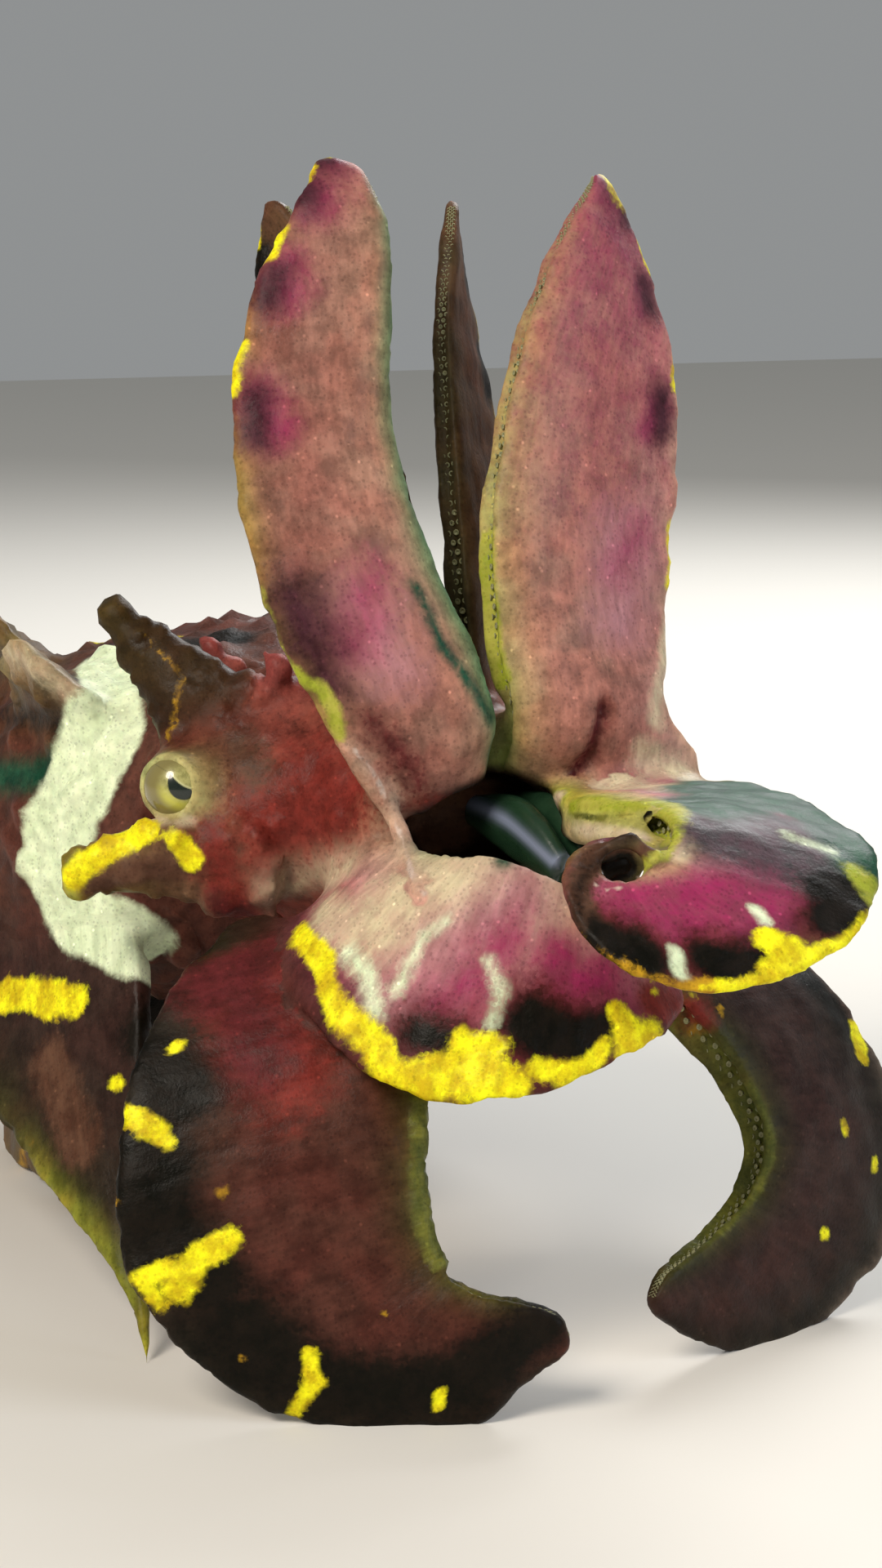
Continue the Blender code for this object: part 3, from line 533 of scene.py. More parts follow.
def curled_tip_forms():
    """The left third arm's tip, rolled into a ring over a near-black sheet of painted shade that fills its
    hole, and the soft ends of its lips.
    """
    back = unit(np.array((-0.492, -0.853, 0.174)))
    across = unit(np.array((0.866, -0.5, 0.0)))
    up = np.cross(back, across)
    middle = np.array((-0.55, -20.9, 0.05)) - across * 0.5
    turns = np.linspace(0.0, 2 * math.pi, 19)
    tilt = 0.25
    wide = across * math.cos(tilt) + up * math.sin(tilt)
    high = up * math.cos(tilt) - across * math.sin(tilt)
    centre = middle + back * 0.9
    ring = [centre + wide * 2.85 * math.cos(turn) + high * 2.15 * math.sin(turn) for turn in turns]
    add_source("curl_ring", limb_rings(ring, (0.95, 0.95), (0.85, 0.85), back, 80, 16))
    # A thin near-black sheet behind the ring: painted shade that fills the ring's hole
    web = [middle - back * 1.2 - high * 2.2, middle - back * 1.7, middle - back * 1.6 + high * 3.6]
    add_source("curl_web", limb_rings(web, (2.2, 3.2, 3.4), (0.7, 0.7, 0.7), wide, 24, 24))
    lips = [(5.4, -1.5, 1.6), (4.0, -5.0, 2.6), (3.1, -10.0, 3.0), (3.1, -15.0, 3.6), (3.6, -18.5, 3.4)]
    widths = (1.1, 1.3, 1.35, 1.25, 0.7)
    add_source("lip_upper", limb_rings(lips, widths, widths, (1, 0, 0), 40, 20, 0.35, 61))
    lips = [(4.8, -3.0, -0.9), (3.6, -7.0, 0.1), (2.8, -11.0, 0.5), (2.6, -16.0, 1.2), (3.0, -20.0, 1.0)]
    widths = (1.1, 1.3, 1.4, 1.35, 1.0)
    add_source("lip_lower", limb_rings(lips, widths, widths, (1, 0, 0), 40, 20, 0.2, 62))


# The flaps on the back: share of the mantle's length, angle up from its side, height and half width
FLAPS = ((0.19, 0.68, 10.5, 7.4), (0.47, 0.92, 12.0, 8.4), (0.74, 0.98, 9.0, 6.0))


def body_forms():
    add_source("mantle", mantle_rings(np.linspace(0.0, 1.0, 100), 110))
    for side, label in SIDES:
        for number, (share, angle, tall, half_width) in enumerate(FLAPS):
            turn = on_side(angle, side)
            root = mantle_side(share, turn, -2.5)
            out = unit(mantle_side(share, turn, 1.0) - root)
            top = root + out * tall * 0.6 + np.array((0.25 * side, 0.35, 0.55)) * tall * 0.7
            path = [root, (root + top) / 2 + out * 1.4, top]
            widths = (half_width, half_width * 0.98, half_width * 0.3)
            across = (-0.25 * side, 1.0, -0.3)
            rings = limb_rings(path, widths, (2.0, 1.2, 0.45), across, 40, 44, 0.9, 20 + number + side)
            add_source(f"flap_{number}_{label}", rings)
    tail = mantle_side(0.93, math.pi / 2, -2.0)
    path = [tail, tail + (0, 3.5, 3.5), tail + (0, 8.5, 5.0)]
    add_source("flap_tail", limb_rings(path, (3.6, 2.8, 0.7), (1.6, 1.1, 0.5), (1, 0, 0), 30, 30, 0.4, 30))


# A fin: where it starts and how long it is in shares of the mantle, its angle up from the side, its
# greatest width, the number of its waves and of its stations, and the floor under the right one's front
FIN_START, FIN_SPAN, FIN_ANGLE, FIN_WIDTH, FIN_WAVES, FIN_STATIONS = 0.03, 0.93, -0.34, 9.0, 2.6, 13
FIN_CORNER = (-28.5, 6.0, -44.0)
# How wide a fin is from its front end to its back end, as a share of its widest
FIN_PROFILE = (0.35, 0.9, 1.0, 1.0, 1.0, 0.9, 0.4)
LOBE_ANGLE = -1.12
# The rim of a belly lobe: share of the mantle's length where it hangs, and its place
LOBE_RIM = (
    (0.26, 13.0, 42.0, -31.0),
    (0.30, 15.5, 42.5, -39.0),
    (0.37, 17.0, 46.0, -44.2),
    (0.48, 17.0, 52.0, -42.4),
    (0.58, 16.5, 59.0, -42.4),
    (0.68, 15.0, 67.0, -44.2),
    (0.76, 13.0, 73.0, -39.0),
    (0.80, 11.0, 75.0, -32.0),
)


def fin_forms():
    last = FIN_STATIONS - 1
    for side, label in SIDES:
        stations = []
        for k in range(FIN_STATIONS):
            root = mantle_side(FIN_START + FIN_SPAN * k / last, on_side(FIN_ANGLE, side), -1.5)
            wide = FIN_WIDTH * curve_through(FIN_PROFILE, np.array([k / last]))[0]
            ripple = math.sin(2 * math.pi * FIN_WAVES * k / last + (0.6 if side < 0 else 2.2))
            sag = unit(np.array((side * 0.86, 0.12, -0.5 + 0.26 * ripple)))
            margin = root + sag * (wide + 1.5)
            # The front of the right fin hangs to the floor
            hanging = max(0.0, 1 - k / (0.42 * last)) ** 0.85 if side < 0 else 0.0
            stations.append((root, margin + (FIN_CORNER - margin) * hanging))
        rings = blade_rings(stations, (2.6, 1.6), 0.9, PLAIN_SECTION, 100, 0.5, 40 + side)
        add_source(f"fin_{label}", rings)
        angle = on_side(LOBE_ANGLE, side)
        stations = [(mantle_side(share, angle, -2.0), (x * side, y, z)) for share, x, y, z in LOBE_RIM]
        add_source(f"lobe_{label}", blade_rings(stations, (6.0, 5.0), 2.2, PLAIN_SECTION, 60, 0.4, 50 + side))


# The body behind this takes larger triangles than the head and the arms
BODY_FROM_Y = 26.0


def one_skin():
    """Joins the forms into one closed skin without a seam, with small triangles on the crown and head."""
    nothing_selected()
    for piece, *_ in sources.values():
        piece.select_set(True)
    skin = sources["mantle"][0]
    bpy.context.view_layer.objects.active = skin
    bpy.ops.object.join()
    skin.name = "skin"
    apply_modifier(skin, "REMESH", mode="VOXEL", voxel_size=VOXEL * MM, adaptivity=0.0)
    body = skin.vertex_groups.new(name="body")
    far_back = places_from_mouth(skin)[:, 1] > BODY_FROM_Y
    body.add(np.where(far_back)[0].tolist(), 0.8, "REPLACE")
    body.add(np.where(~far_back)[0].tolist(), 0.5, "REPLACE")
    triangles = 2 * len(skin.data.polygons)
    apply_modifier(skin, "DECIMATE", ratio=SKIN_TRIANGLES / triangles, vertex_group="body")
    skin.vertex_groups.clear()
    nothing_selected()
    bpy.ops.mesh.primitive_uv_sphere_add(
        segments=64, ring_count=48, radius=1.0, location=np.array(HOLLOW_CENTRE) * MM + MOUTH
    )
    hollow = bpy.context.object
    bpy.ops.transform.resize(value=[size * MM for size in HOLLOW_SIZE])
    bpy.ops.object.transform_apply(location=True, rotation=True, scale=True)
    apply_modifier(skin, "BOOLEAN", operation="DIFFERENCE", object=hollow, solver="MANIFOLD")
    bpy.data.objects.remove(hollow)
    keep_largest(skin)
    return skin


def keep_largest(piece):
    """Takes out hollows and scraps, so that one closed surface is left."""
    a, b = read(piece.data.edges, "vertices", 2, np.int32).T
    label = np.arange(len(piece.data.vertices))
    while True:
        lower = np.minimum(label[a], label[b])
        new = label.copy()
        np.minimum.at(new, a, lower)
        np.minimum.at(new, b, lower)
        new = new[new]
        if np.array_equal(new, label):
            break
        label = new
    largest = np.bincount(label).argmax()
    if (label != largest).any():
        mesh = bmesh.new()
        mesh.from_mesh(piece.data)
        mesh.verts.ensure_lookup_table()
        bmesh.ops.delete(mesh, geom=[mesh.verts[k] for k in np.where(label != largest)[0]], context="VERTS")
        mesh.to_mesh(piece.data)
        mesh.free()
    piece.data.validate()


def srgb(code):
    """The linear colour of an sRGB hex value."""
    parts = [int(code[k : k + 2], 16) / 255 for k in (1, 3, 5)]
    linear = (part / 12.92 if part <= 0.04045 else ((part + 0.055) / 1.055) ** 2.4 for part in parts)
    return (*linear, 1.0)


# The ground colour of each form, from its oral edge, root or front to its margin, tip or back
GROUND_COLOURS = {
    "arm_1": ((0.0, "#3f3a22"), (0.1, "#4c3a26"), (0.5, "#5a402c"), (0.9, "#4a3324"), (1.0, "#a8902c")),
    "arm_2_right": ((0.0, "#4f7a58"), (0.05, "#6f7f58"), (0.15, "#9a7460"), (0.5, "#8b6356"),
        (0.9, "#7d5548"), (1.0, "#a8943c")),
    "arm_2_left": ((0.0, "#9aa05a"), (0.03, "#a08660"), (0.2, "#9a7263"), (0.6, "#94695b"),
        (0.93, "#a57a70"), (1.0, "#d6b48a")),
    "arm_3_right": ((0.0, "#a9a883"), (0.1, "#b59a80"), (0.3, "#b0857c"), (0.6, "#96505c"),
        (0.85, "#4a2426"), (1.0, "#4a2a24")),
    "arm_3_left": ((0.0, "#cfc36a"), (0.05, "#b9b27a"), (0.18, "#a8737a"), (0.5, "#8f3a58"),
        (0.8, "#5a2438"), (1.0, "#8e8a3c")),
    "arm_4_right": ((0.0, "#5a5c28"), (0.03, "#3a3018"), (0.15, "#46281e"), (0.5, "#4c2b22"),
        (0.8, "#2c1f15"), (0.97, "#1a1810"), (1.0, "#8d7a68")),
    # The left fourth arm is darker than the right one, partly its own darker skin and partly painted shade on
    # the far side
    "arm_4_left": ((0.0, "#5a5c28"), (0.04, "#2c2c18"), (0.2, "#35241f"), (0.5, "#35241f"),
        (0.9, "#1e1c15"), (1.0, "#6a5a4c")),
    "head": ((0.0, "#87503f"), (0.4, "#74392f"), (1.0, "#47281f")),
    "funnel": ((0.0, "#7a5040"), (1.0, "#9d7660")),
    "brow": ((0.0, "#4c2a20"), (0.4, "#362617"), (0.85, "#30260f"), (1.0, "#5a4420")),
    "cheek": ((0.0, "#6a3c32"), (0.5, "#5c4530"), (0.9, "#6a5a2a"), (1.0, "#a89a2a")),
    "lid": ((0.0, "#a9ae72"),),
    "socket": ((0.0, "#6f3c30"), (0.6, "#5a3026"), (1.0, "#6a4a34")),
    "thorn": ((0.0, "#7a4238"), (0.7, "#7d3f3c"), (1.0, "#b0705c")),
    "web": ((0.0, "#9a7a66"), (1.0, "#b8a48c")),
    "curl_ring": ((0.0, "#241712"), (1.0, "#241712")),
    # Near black: painted shade in the hole of the curled tip
    "curl_web": ((0.0, "#140f08"), (1.0, "#140f08")),
    "lip_upper": ((0.0, "#b7bc5c"), (0.3, "#a5a83c"), (1.0, "#b0b43e")),
    "lip_lower": ((0.0, "#c9c69c"), (0.4, "#b9b183"), (1.0, "#8f8a58")),
    "mantle": ((0.0, "#55342a"), (0.3, "#472a20"), (1.0, "#3e281e")),
    "flap": ((0.0, "#3f2a1c"), (0.5, "#46351f"), (0.75, "#8a7a48"), (0.88, "#c9c28a"), (1.0, "#e0dca8")),
    "fin_right": ((0.0, "#3a2620"), (0.5, "#2f221c"), (0.85, "#2a2216"), (0.94, "#6f7426"),
        (1.0, "#b9b438")),
    "fin_left": ((0.0, "#4a3028"), (0.5, "#46322a"), (0.78, "#4a3a26"), (0.9, "#a59a30"), (1.0, "#d0c93a")),
    "lobe": ((0.0, "#3a2820"), (0.7, "#33261e"), (1.0, "#6e5c38")),
}

# Marks of colour on the skin, by kind: half width, softness and the places along the stroke
MARKS = {
    "cream": (
        (4.17, 2.84, (-13.8, -6.9, -5), (-9.8, -11.6, -2.6), (-5.7, -14.4, -1.3)),
        (1.93, 1.93, (-15.7, -1, -5.6), (-15.7, -5.1, -6.8)),
        (2.65, 2.39, (9, -5.2, 3.5), (11, -7.5, 3.4), (11.8, -10.9, 3.9)),
        (0.87, 1.12, (2.6, -24, 1.5), (4.3, -23, 2.6)),
        (0.61, 0.81, (16.7, -0.3, 15.7), (14.6, -2.9, 11.4), (13.2, -4.1, 8.3)),
        (1.47, 1.74, (12.3, -4.2, 5), (15.9, -4.9, 3.6), (14.5, -11.6, 3.5)),
        (0.58, 0.52, (3.1, -5.7, 3), (5.5, -1.7, 0.4), (1.5, -12.5, 1.4), (2.5, -19.1, 1.9)),
        (1.73, 2.27, (-14.1, 9.8, -5.1), (-12.1, 2.8, -2.7)),
        (0.54, 0.54, (-22.6, 16, -0.1), (-22, 14, -0.1), (-20.5, 13.9, -0.1)),
        (0.86, 2.43, (-25.3, 40.9, 11.6), (-25.5, 33.5, 10.7), (-23.1, 32.1, 8.4)),
    ),
    "green": (
        (0.66, 0.92, (-6.5, -12.9, -0.1), (5.7, 1.5, -4.7)),
        (3.37, 1.55, (8.4, -18.1, 3.8), (13.5, -15.4, 3.4), (17, -16, 2.9), (19.2, -18.5, 2),
            (19.3, -23.8, 0.5), (18.8, -26.1, -0.7)),
        (4.38, 1.72, (12.1, -13, 3.8), (17, -10.3, 3.2), (19.8, -12, 2.9), (20.9, -14.6, 2.4)),
        (0.52, 0.72, (-7.1, 0.2, 19.9), (-5.2, -1.6, 15.6), (-3.2, -2.8, 12), (-1.8, -3.2, 9.3)),
        (1.45, 1.6, (-25.5, 44.2, -0.4), (-24.4, 37.5, 0.5), (-22.7, 33.5, 2.4)),
    ),
    "white": (
        (0.57, 1.78, (-15.8, -5.7, -7.3), (-16.1, -8, -9.4), (-16.1, -9.8, -11.4)),
        (0.32, 1.39, (-14.6, -10.4, -9.4), (-12.9, -11.1, -6.9), (-10.9, -11.6, -4.1)),
        (0.25, 1.63, (-8.9, -15.3, -7.2), (-8.9, -16.4, -9.5), (-10, -16.9, -12.2)),
        (0.62, 1, (-11.3, -16, -13.1), (-10, -17.1, -12.8)),
        (0.25, 1.65, (12.9, -23.4, 1.7), (15.6, -24.7, 0.5)),
        (0.43, 0.74, (6.1, -28.2, -2.2), (6.5, -29.9, -3.9)),
        (0.49, 0.73, (-1.1, -28.2, -4.8), (-1.3, -29.3, -6.2)),
        (2.89, 0.87, (-14.9, 42.9, 10.1), (-18.5, 33.3, 8.6), (-20.4, 30.1, 5.6)),
        (4.13, 0.86, (-21, 30.5, 4.9), (-23.1, 31.2, 0.7), (-24, 32.9, -3.1), (-24.5, 33.2, -6.7)),
        (3.12, 0.85, (-23.4, 30.4, -10.7), (-21.8, 26.5, -11.7), (-19.9, 24.5, -13.3)),
        (3.58, 0.86, (-24.5, 33.2, -6.5), (-24.5, 32, -8.9), (-23.4, 30.4, -10.7)),
    ),
    "pink": (
        (2.64, 2.51, (-14.1, -11.4, -9.9), (-11.6, -12.8, -7), (-9, -13.9, -4.5), (-6, -15, -2.7)),
        (0.87, 1.62, (3.9, -24.9, 0.9), (7.6, -25.3, 0.8)),
        (2.2, 3.23, (-11.4, 0.5, 18.1), (-10.4, -1, 13.6)),
        (2.96, 2.96, (12.5, 0.1, 22.8), (11.1, -2, 16.3)),
    ),
    "magenta": (
        (1.63, 2.76, (-13.1, -13.4, -10.9), (-10.8, -14.4, -8.7), (-7.8, -15.6, -6.3)),
        (2.74, 2.24, (-6.1, -24.4, -2.8), (-4.1, -17.8, -7.5), (-4.4, -18.4, -9.6), (-0.7, -18.5, -9.1)),
        (3.2, 2.09, (-2.6, -25.2, -2.1), (0.6, -26.3, -1.6), (5, -27.4, -1.3), (9.8, -27.6, -1.1)),
        (0.91, 3.36, (-12.9, 0.4, 15.6), (-11.4, 0.5, 18.1), (-10.5, 1.2, 21.2)),
        (0.95, 3.38, (13.9, 0.8, 23.6), (12.5, -0.5, 20.8)),
    ),
    "yellow": (
        (0.9, 0.77, (-17.1, 0.2, -7), (-17.9, -3.6, -9.1), (-18.4, -6.4, -11.7), (-18, -7.8, -12.5)),
        (1.26, 1.01, (-18.1, -7.2, -11.9), (-17.1, -10, -14), (-16.2, -12.3, -15.3)),
        (0.63, 0.63, (-17, -8.9, -12.3), (-16.2, -11.2, -13.9)),
        (1.81, 1.13, (-15.2, -14, -15.8), (-12.5, -16.1, -15.7), (-9.7, -18.7, -15.7)),
        (1.06, 1, (-12.2, -15.6, -13.7), (-10.2, -17.2, -13.4)),
        (0.81, 0.75, (-7.2, -19.4, -15.4), (-4.4, -20.2, -14.9), (-2, -20.4, -14.2)),
        (1.52, 1.14, (0.1, -20.2, -13.2), (2.4, -20, -13.5)),
        (0.76, 0.76, (-0.3, -19.5, -11.5), (0.3, -19.7, -12.2)),
        (1.41, 0.86, (6.8, -30.6, -4.8), (8.1, -31.4, -5.7), (6, -31.4, -6.4)),
        (0.81, 0.75, (9.8, -31.4, -5.3), (13.2, -31.2, -4.9), (15.7, -29.8, -3.8)),
        (0.61, 0.55, (1.3, -30.8, -6.9), (2.9, -31.2, -6.9), (4.9, -31.4, -6.9), (6.6, -31.6, -6.6)),
        (0.25, 0.43, (4.5, -17.4, -10.1), (0.1, -30.5, -7.2), (3.9, -31.4, -7.2)),
        (0.26, 0.53, (4.2, -18, -10.7), (14.2, -9, -14.2)),
        (0.64, 0.58, (-29, 0.7, -14.8)),
        (0.38, 0.46, (-10.7, 42.2, -24.2)),
        (0.66, 0.66, (-24.8, 20, -23.1), (-32.9, -0.9, -19.4), (-30.9, -3.3, -21.4)),
        (0.83, 0.64, (-32.7, -1.4, -19.9), (-31.9, -2.3, -20.6)),
        (1.08, 0.89, (-31.5, -6.8, -31.7), (-30.1, -7, -30.1), (-28.9, -7.3, -28.7)),
        (0.76, 0.76, (-33.1, -5.5, -31), (-31.8, -6.2, -30.8)),
        (0.57, 0.57, (-33.4, -5.8, -32.1), (-32.4, -6.3, -32.9)),
        (0.58, 0.58, (-23.3, -11.8, -37.3), (-22.9, -12.3, -39.3), (-23.9, -11.7, -41.6)),
        (0.83, 0.58, (-23, -12.2, -38.9)),
        (0.51, 0.51, (-15, -17.2, -39.9), (-14.7, -17.2, -41)),
        (0.64, 0.64, (32.6, -10.4, -31.3)),
        (0.56, 0.63, (25.3, -13.4, -35.3)),
        (0.63, 0.7, (29.3, -10.6, -27.1)),
        (0.19, 0.26, (-17.9, 4.1, 18.4), (-16.5, 2.4, 14.4)),
        (0.62, 0.62, (18.9, 2.3, 23.7), (18.2, 1, 20.3), (17.4, 0.3, 18.7)),
        (1.01, 0.6, (-22.5, 13.7, -0.9), (-21.6, 13.2, -1.8), (-20.8, 12.9, -3)),
        (1.22, 0.68, (-28.3, 19.6, -4.8), (-27.8, 19.3, -4), (-26, 17.9, -2.4), (-23.5, 15.6, -0.7)),
        (1.45, 0.87, (-28.5, 40, -19.7), (-26.5, 33.7, -18), (-25, 27.8, -17.7)),
        (0.94, 0.72, (-27.2, 37.5, -18), (-26.2, 30.3, -19.1)),
    ),
    "red": (
        (1.71, 1.18, (3.9, -18.4, -11.3), (14.2, -9.1, -15.9)),
        (3.21, 3.21, (-21.8, 1.2, -10.6), (-22.4, -2.7, -13.7), (-21.9, -5.9, -16.9)),
        (0.53, 1.46, (2.7, 5.9, 2.1), (-6.2, -1.5, 3.2), (-8, -0.6, 2.5)),
        (1.62, 1.89, (-19.1, 12.2, -0.9), (-18.7, 11.5, -4.5), (-16.6, 11.6, -7.9)),
        (4, 4, (-12.2, 8.2, 3.9), (-11.2, 4.4, 2.4), (-14.6, 9.5, 0.5)),
    ),
    "gold": (
        (0.4, 0.53, (3.1, -19.6, -14), (14.9, -8.1, -17.4), (16.5, -9.6, -15.5)),
        (0.73, 0.61, (-4.9, -27.6, -5.7), (-3.1, -28.7, -6.5), (0.2, -30.4, -6.9)),
        (0.42, 0.48, (-6.3, -25, -3.9), (-5.9, -26.4, -4.7), (-4.9, -27.6, -5.7)),
        (0.44, 0.44, (-28.4, -6.5, -25.3)),
        (0.32, 0.32, (-27.8, -9, -38.1)),
        (0.25, 0.32, (-17.7, -14.5, -33.5)),
        (0.38, 0.38, (-34.8, -3, -25.9)),
        (0.14, 0.62, (-17.9, 20.5, 11), (-18.6, 20, 8.6), (-19.4, 20.1, 5.8)),
        (0.07, 0.62, (-19.6, 24.1, 14.4), (-17.9, 20.5, 11)),
        (0.97, 0.97, (-17, 59.9, -40.7)),
        (0.46, 0.69, (-16.2, 62.4, -42.7), (-30.1, 26.6, -29.3)),
    ),
    "mauve": (
        (4.43, 2.15, (7.8, -22.4, 2.8), (12, -22.9, 2.1), (14.7, -24.7, 0.7)),
    ),
    "lime": (
        (1.02, 0.89, (17.2, -26.8, -0.9), (17.6, -28.1, -2.9)),
        (1.26, 1.13, (4.8, -17.6, 4), (3.7, -20.8, 3.4)),
        (0.56, 0.56, (3.2, -22.3, 2.7), (1.3, -23.3, 1.4), (0.1, -22.7, 0.5)),
        (0.26, 0.32, (-18.2, 5, 19.6), (-16.8, 2.7, 14.9), (-15.2, 1.6, 12.3)),
        (0.58, 0.52, (-14.9, 1.4, 12.3), (-14, 0.7, 10.5), (-13.5, 0.8, 8.4)),
        (0.2, 0.27, (1, 1, 23.9), (0.8, 1.7, 18.5), (0.5, 1, 14.6), (0.7, 0.2, 11.4)),
        (0.64, 0.58, (2.4, -8.6, 2.8), (2.5, -13.2, 3.6), (4.1, -16.5, 3.9)),
        (0.61, 0.61, (-28.1, 20.1, -6.8), (-28.9, 20.1, -4.7), (-27.8, 19.6, -3.2)),
        (0.4, 0.47, (-22.6, 15.7, -0.2), (-22.4, 14.8, -0.2), (-21.9, 13.8, -0.2)),
    ),
    "black": (
        # Painted shade: this stroke darkens the curled tip's hole and the line that runs out from it
        (0.43, 1.47, (-2.1, -20.9, 1.4), (-4.3, -21.1, 0.4), (-6, -22.7, -1.3), (-6.5, -24.1, -2.8),
            (-6.2, -25.4, -3.9)),
        # Painted shade: these two strokes darken the crease and the slit between the left third arm's lips
        (1.25, 0.38, (-0.9, -18.8, -0.5), (0.3, -19.4, 0)),
        (0.51, 0.32, (2.9, -15.1, 2.9), (3.2, -15.6, 2.9), (3.5, -16.1, 3), (3.8, -16.6, 3),
            (3.6, -17.8, 3.1), (4.6, -17.2, 2.8), (4.6, -18.1, 2.6)),
        (2.85, 1.77, (-11, 41.8, -23.5), (-30.7, 0.6, -16), (-29, -2.3, -17.8)),
        (3.31, 2.16, (-33.1, -2.1, -21.5), (-32.3, -4, -24.4), (-31.9, -5.2, -28.1), (-30, -7.6, -31.6)),
        (3.96, 2.94, (-27.3, -9.2, -36.2), (-22.1, -12.7, -39.3), (-16.9, -16.2, -39.8),
            (-11.9, -18.9, -39.2), (-7.9, -20.7, -35.4)),
        (-0.2, 2.3, (-12.1, 13.5, 7.9), (-11.3, 11.1, 7.1)),
        (0.88, 1.9, (-22.2, 50.1, 4.4), (-23.4, 37.8, 5.5), (-22.2, 32.3, 5.3)),
    ),
    "brown": (
        (1.17, 0.86, (0.6, -23.1, 1.5), (-0.1, -19.6, 1.3), (-3.7, -20.8, 0.9), (-5.4, -21.9, -0.6),
            (-6.1, -23.5, -2.1), (-5.9, -25, -3.4)),
        (1.29, 1.08, (-26.7, 18.8, -5.9), (-25.3, 15.9, -4.2), (-22.4, 14.1, -3.7)),
        (0.67, 0.54, (-23, 15.2, -0.9)),
        (1.62, 2.43, (-15.7, 14.5, 5.6), (-15.3, 12.4, 4.2)),
        # Painted shade: these two strokes darken the back of the hollow between the arms
        (1.64, 1.23, (-1.3, 9, -0.6), (0.9, 8.5, 0.3), (3.3, 5.6, 1.9)),
        (1.37, 0.96, (-0.6, 8.4, -2.7), (1.7, 8.2, -2.2)),
        (2.12, 1.83, (-27.4, 28.2, -22.8), (-27.7, 20.8, -28.2)),
    ),
    "pit": (
        (0.88, 0.56, (-0.9, -18.8, -0.5), (0.3, -19.4, 0)),
        (0.51, 0.38, (2.9, -15.1, 2.9), (3.2, -15.6, 2.9), (3.5, -16.1, 3), (3.8, -16.6, 3),
            (3.6, -17.8, 3.1), (4.6, -17.2, 2.8), (4.6, -18.1, 2.6)),
        (0.53, 0.53, (7.7, -4.2, 9.4), (7.6, -4, 6.4), (6.6, -3.5, 4)),
    ),
    # Pale lines, a painted highlight: round the inner edge of the curled tip's hole and along the edge of the
    # right web
    "rim": (
        (0.12, 0.25, (-4.3, -21.8, -0.3), (-3.8, -22.8, -0.9), (-2.6, -23.5, -0.7), (1.3, -20, -0.9)),
        (0.26, 0.26, (-12.5, -0.1, 7.1), (-10.7, -1, 4.3), (-9.8, -2.3, 0.9), (-11.3, -7, -1.7),
            (-11.5, -9.3, -2.9)),
    ),
    "olive": (
        (0.26, 0.32, (2, -9.2, 2.1), (1.8, -11, 2.4), (1.8, -12.7, 2.5), (1.9, -14.1, 2.7),
            (2.8, -14.7, 2.7)),
        (0.57, 0.51, (-13.2, -11.3, -18.8), (-14.1, -12.6, -23), (-15, -13.9, -27.7), (-14.1, -15.7, -31)),
        (0.48, 0.48, (18, -10.3, -22.7), (18.9, -11.4, -26.1), (17.4, -11.3, -29.4), (11.2, -13.1, -33.7)),
    ),
    # Dark red-brown strokes of painted shade: where the right fourth arm meets the third, at the edge of the
    # right web, in the fold of the raised left arm and under the right cheek. The same kind also gives the
    # dark patches round the dark lobes and on the flanks.
    "dusk": (
        (2.58, 2.32, (-24.3, 3.5, -10.5), (-22.5, -0.1, -11.9), (-22.7, -4.6, -15.8)),
        (0.78, 1.43, (-11, -0.8, 9.7), (-8, -1.3, 4.3)),
        (0.67, 0.93, (7.7, -4.2, 9.4), (7.6, -4, 6.4), (6.6, -3.5, 4)),
        (0.81, 1.21, (-16.7, 11.4, -7.7), (-19.3, 11.9, -6.6)),
        (2.86, 2.21, (-22, 2.2, -10.2), (-19.5, 1.5, -9.3)),
    ),
    "ridge": (
        (0.38, 0.38, (-13.4, -11.2, -18.8), (-14.3, -12.4, -23), (-15.1, -13.7, -27.7),
            (-14.1, -15.8, -31.2)),
    ),
    "purple": (
        (2.58, 2.84, (-16.1, 3, 19.1), (-15.1, 1.6, 15.6)),
        (1.29, 1.68, (-14.8, 1.4, 14.9), (-14.2, 0.9, 12.4)),
    ),
}
# Dark lobes: half width and softness of the dusky patch, then of the black one inside it, and the places
DARK_LOBES = (
    (2.51, 2.13, 1.25, 1.38, (-14.3, -13, -12.5), (-12.7, -14.6, -12.4)),
    (3.38, 2.13, 2.13, 1.38, (-7.4, -18.4, -12.2), (-4.7, -19.4, -12.9), (-2.5, -19.5, -12.2)),
    (3.26, 1.88, 2.25, 1.25, (13.3, -28.4, -1.8), (14.8, -29.1, -2.7), (12.5, -30.2, -3.7)),
    (3.54, 2.08, 2.32, 1.34, (1.4, -29.4, -5.3), (4.4, -30.6, -5.8)),
    (3.27, 2.06, 2.06, 1.33, (-5.4, -25.8, -3.9), (-3.5, -27.7, -5.1)),
)
MARK_LAYERS = (
    ("yellow", "black", "magenta", "white"),
    ("green", "pink", "red", "gold"),
    ("cream", "olive", "purple", "rim"),
    ("brown", "lime", "mauve", "dusk"),
)
# Ridges and pits raise and sink the skin and have no colour
MARK_KINDS = sum(MARK_LAYERS, ()) + ("ridge", "pit")
HOLLOW_CENTRE, HOLLOW_SIZE = (-0.6, 0.7, -0.9), (6.9, 8.3, 5.1)


def smooth_step(value):
    value = np.clip(value, 0.0, 1.0)
    return value * value * (3 - 2 * value)


def nearest_in(tree, places):
    """The number and the distance of the nearest point of the tree for each place."""
    found = [tree.find(place) for place in places]
    return np.array([item[1] for item in found]), np.array([item[2] for item in found])


def tree_of(places):
    tree = kdtree.KDTree(len(places))
    for number, place in enumerate(places):
        tree.insert(place, number)
    tree.balance()
    return tree


# Arms grow into each other and the head within this share of their length
ARM_ROOT_SHARE = 0.22


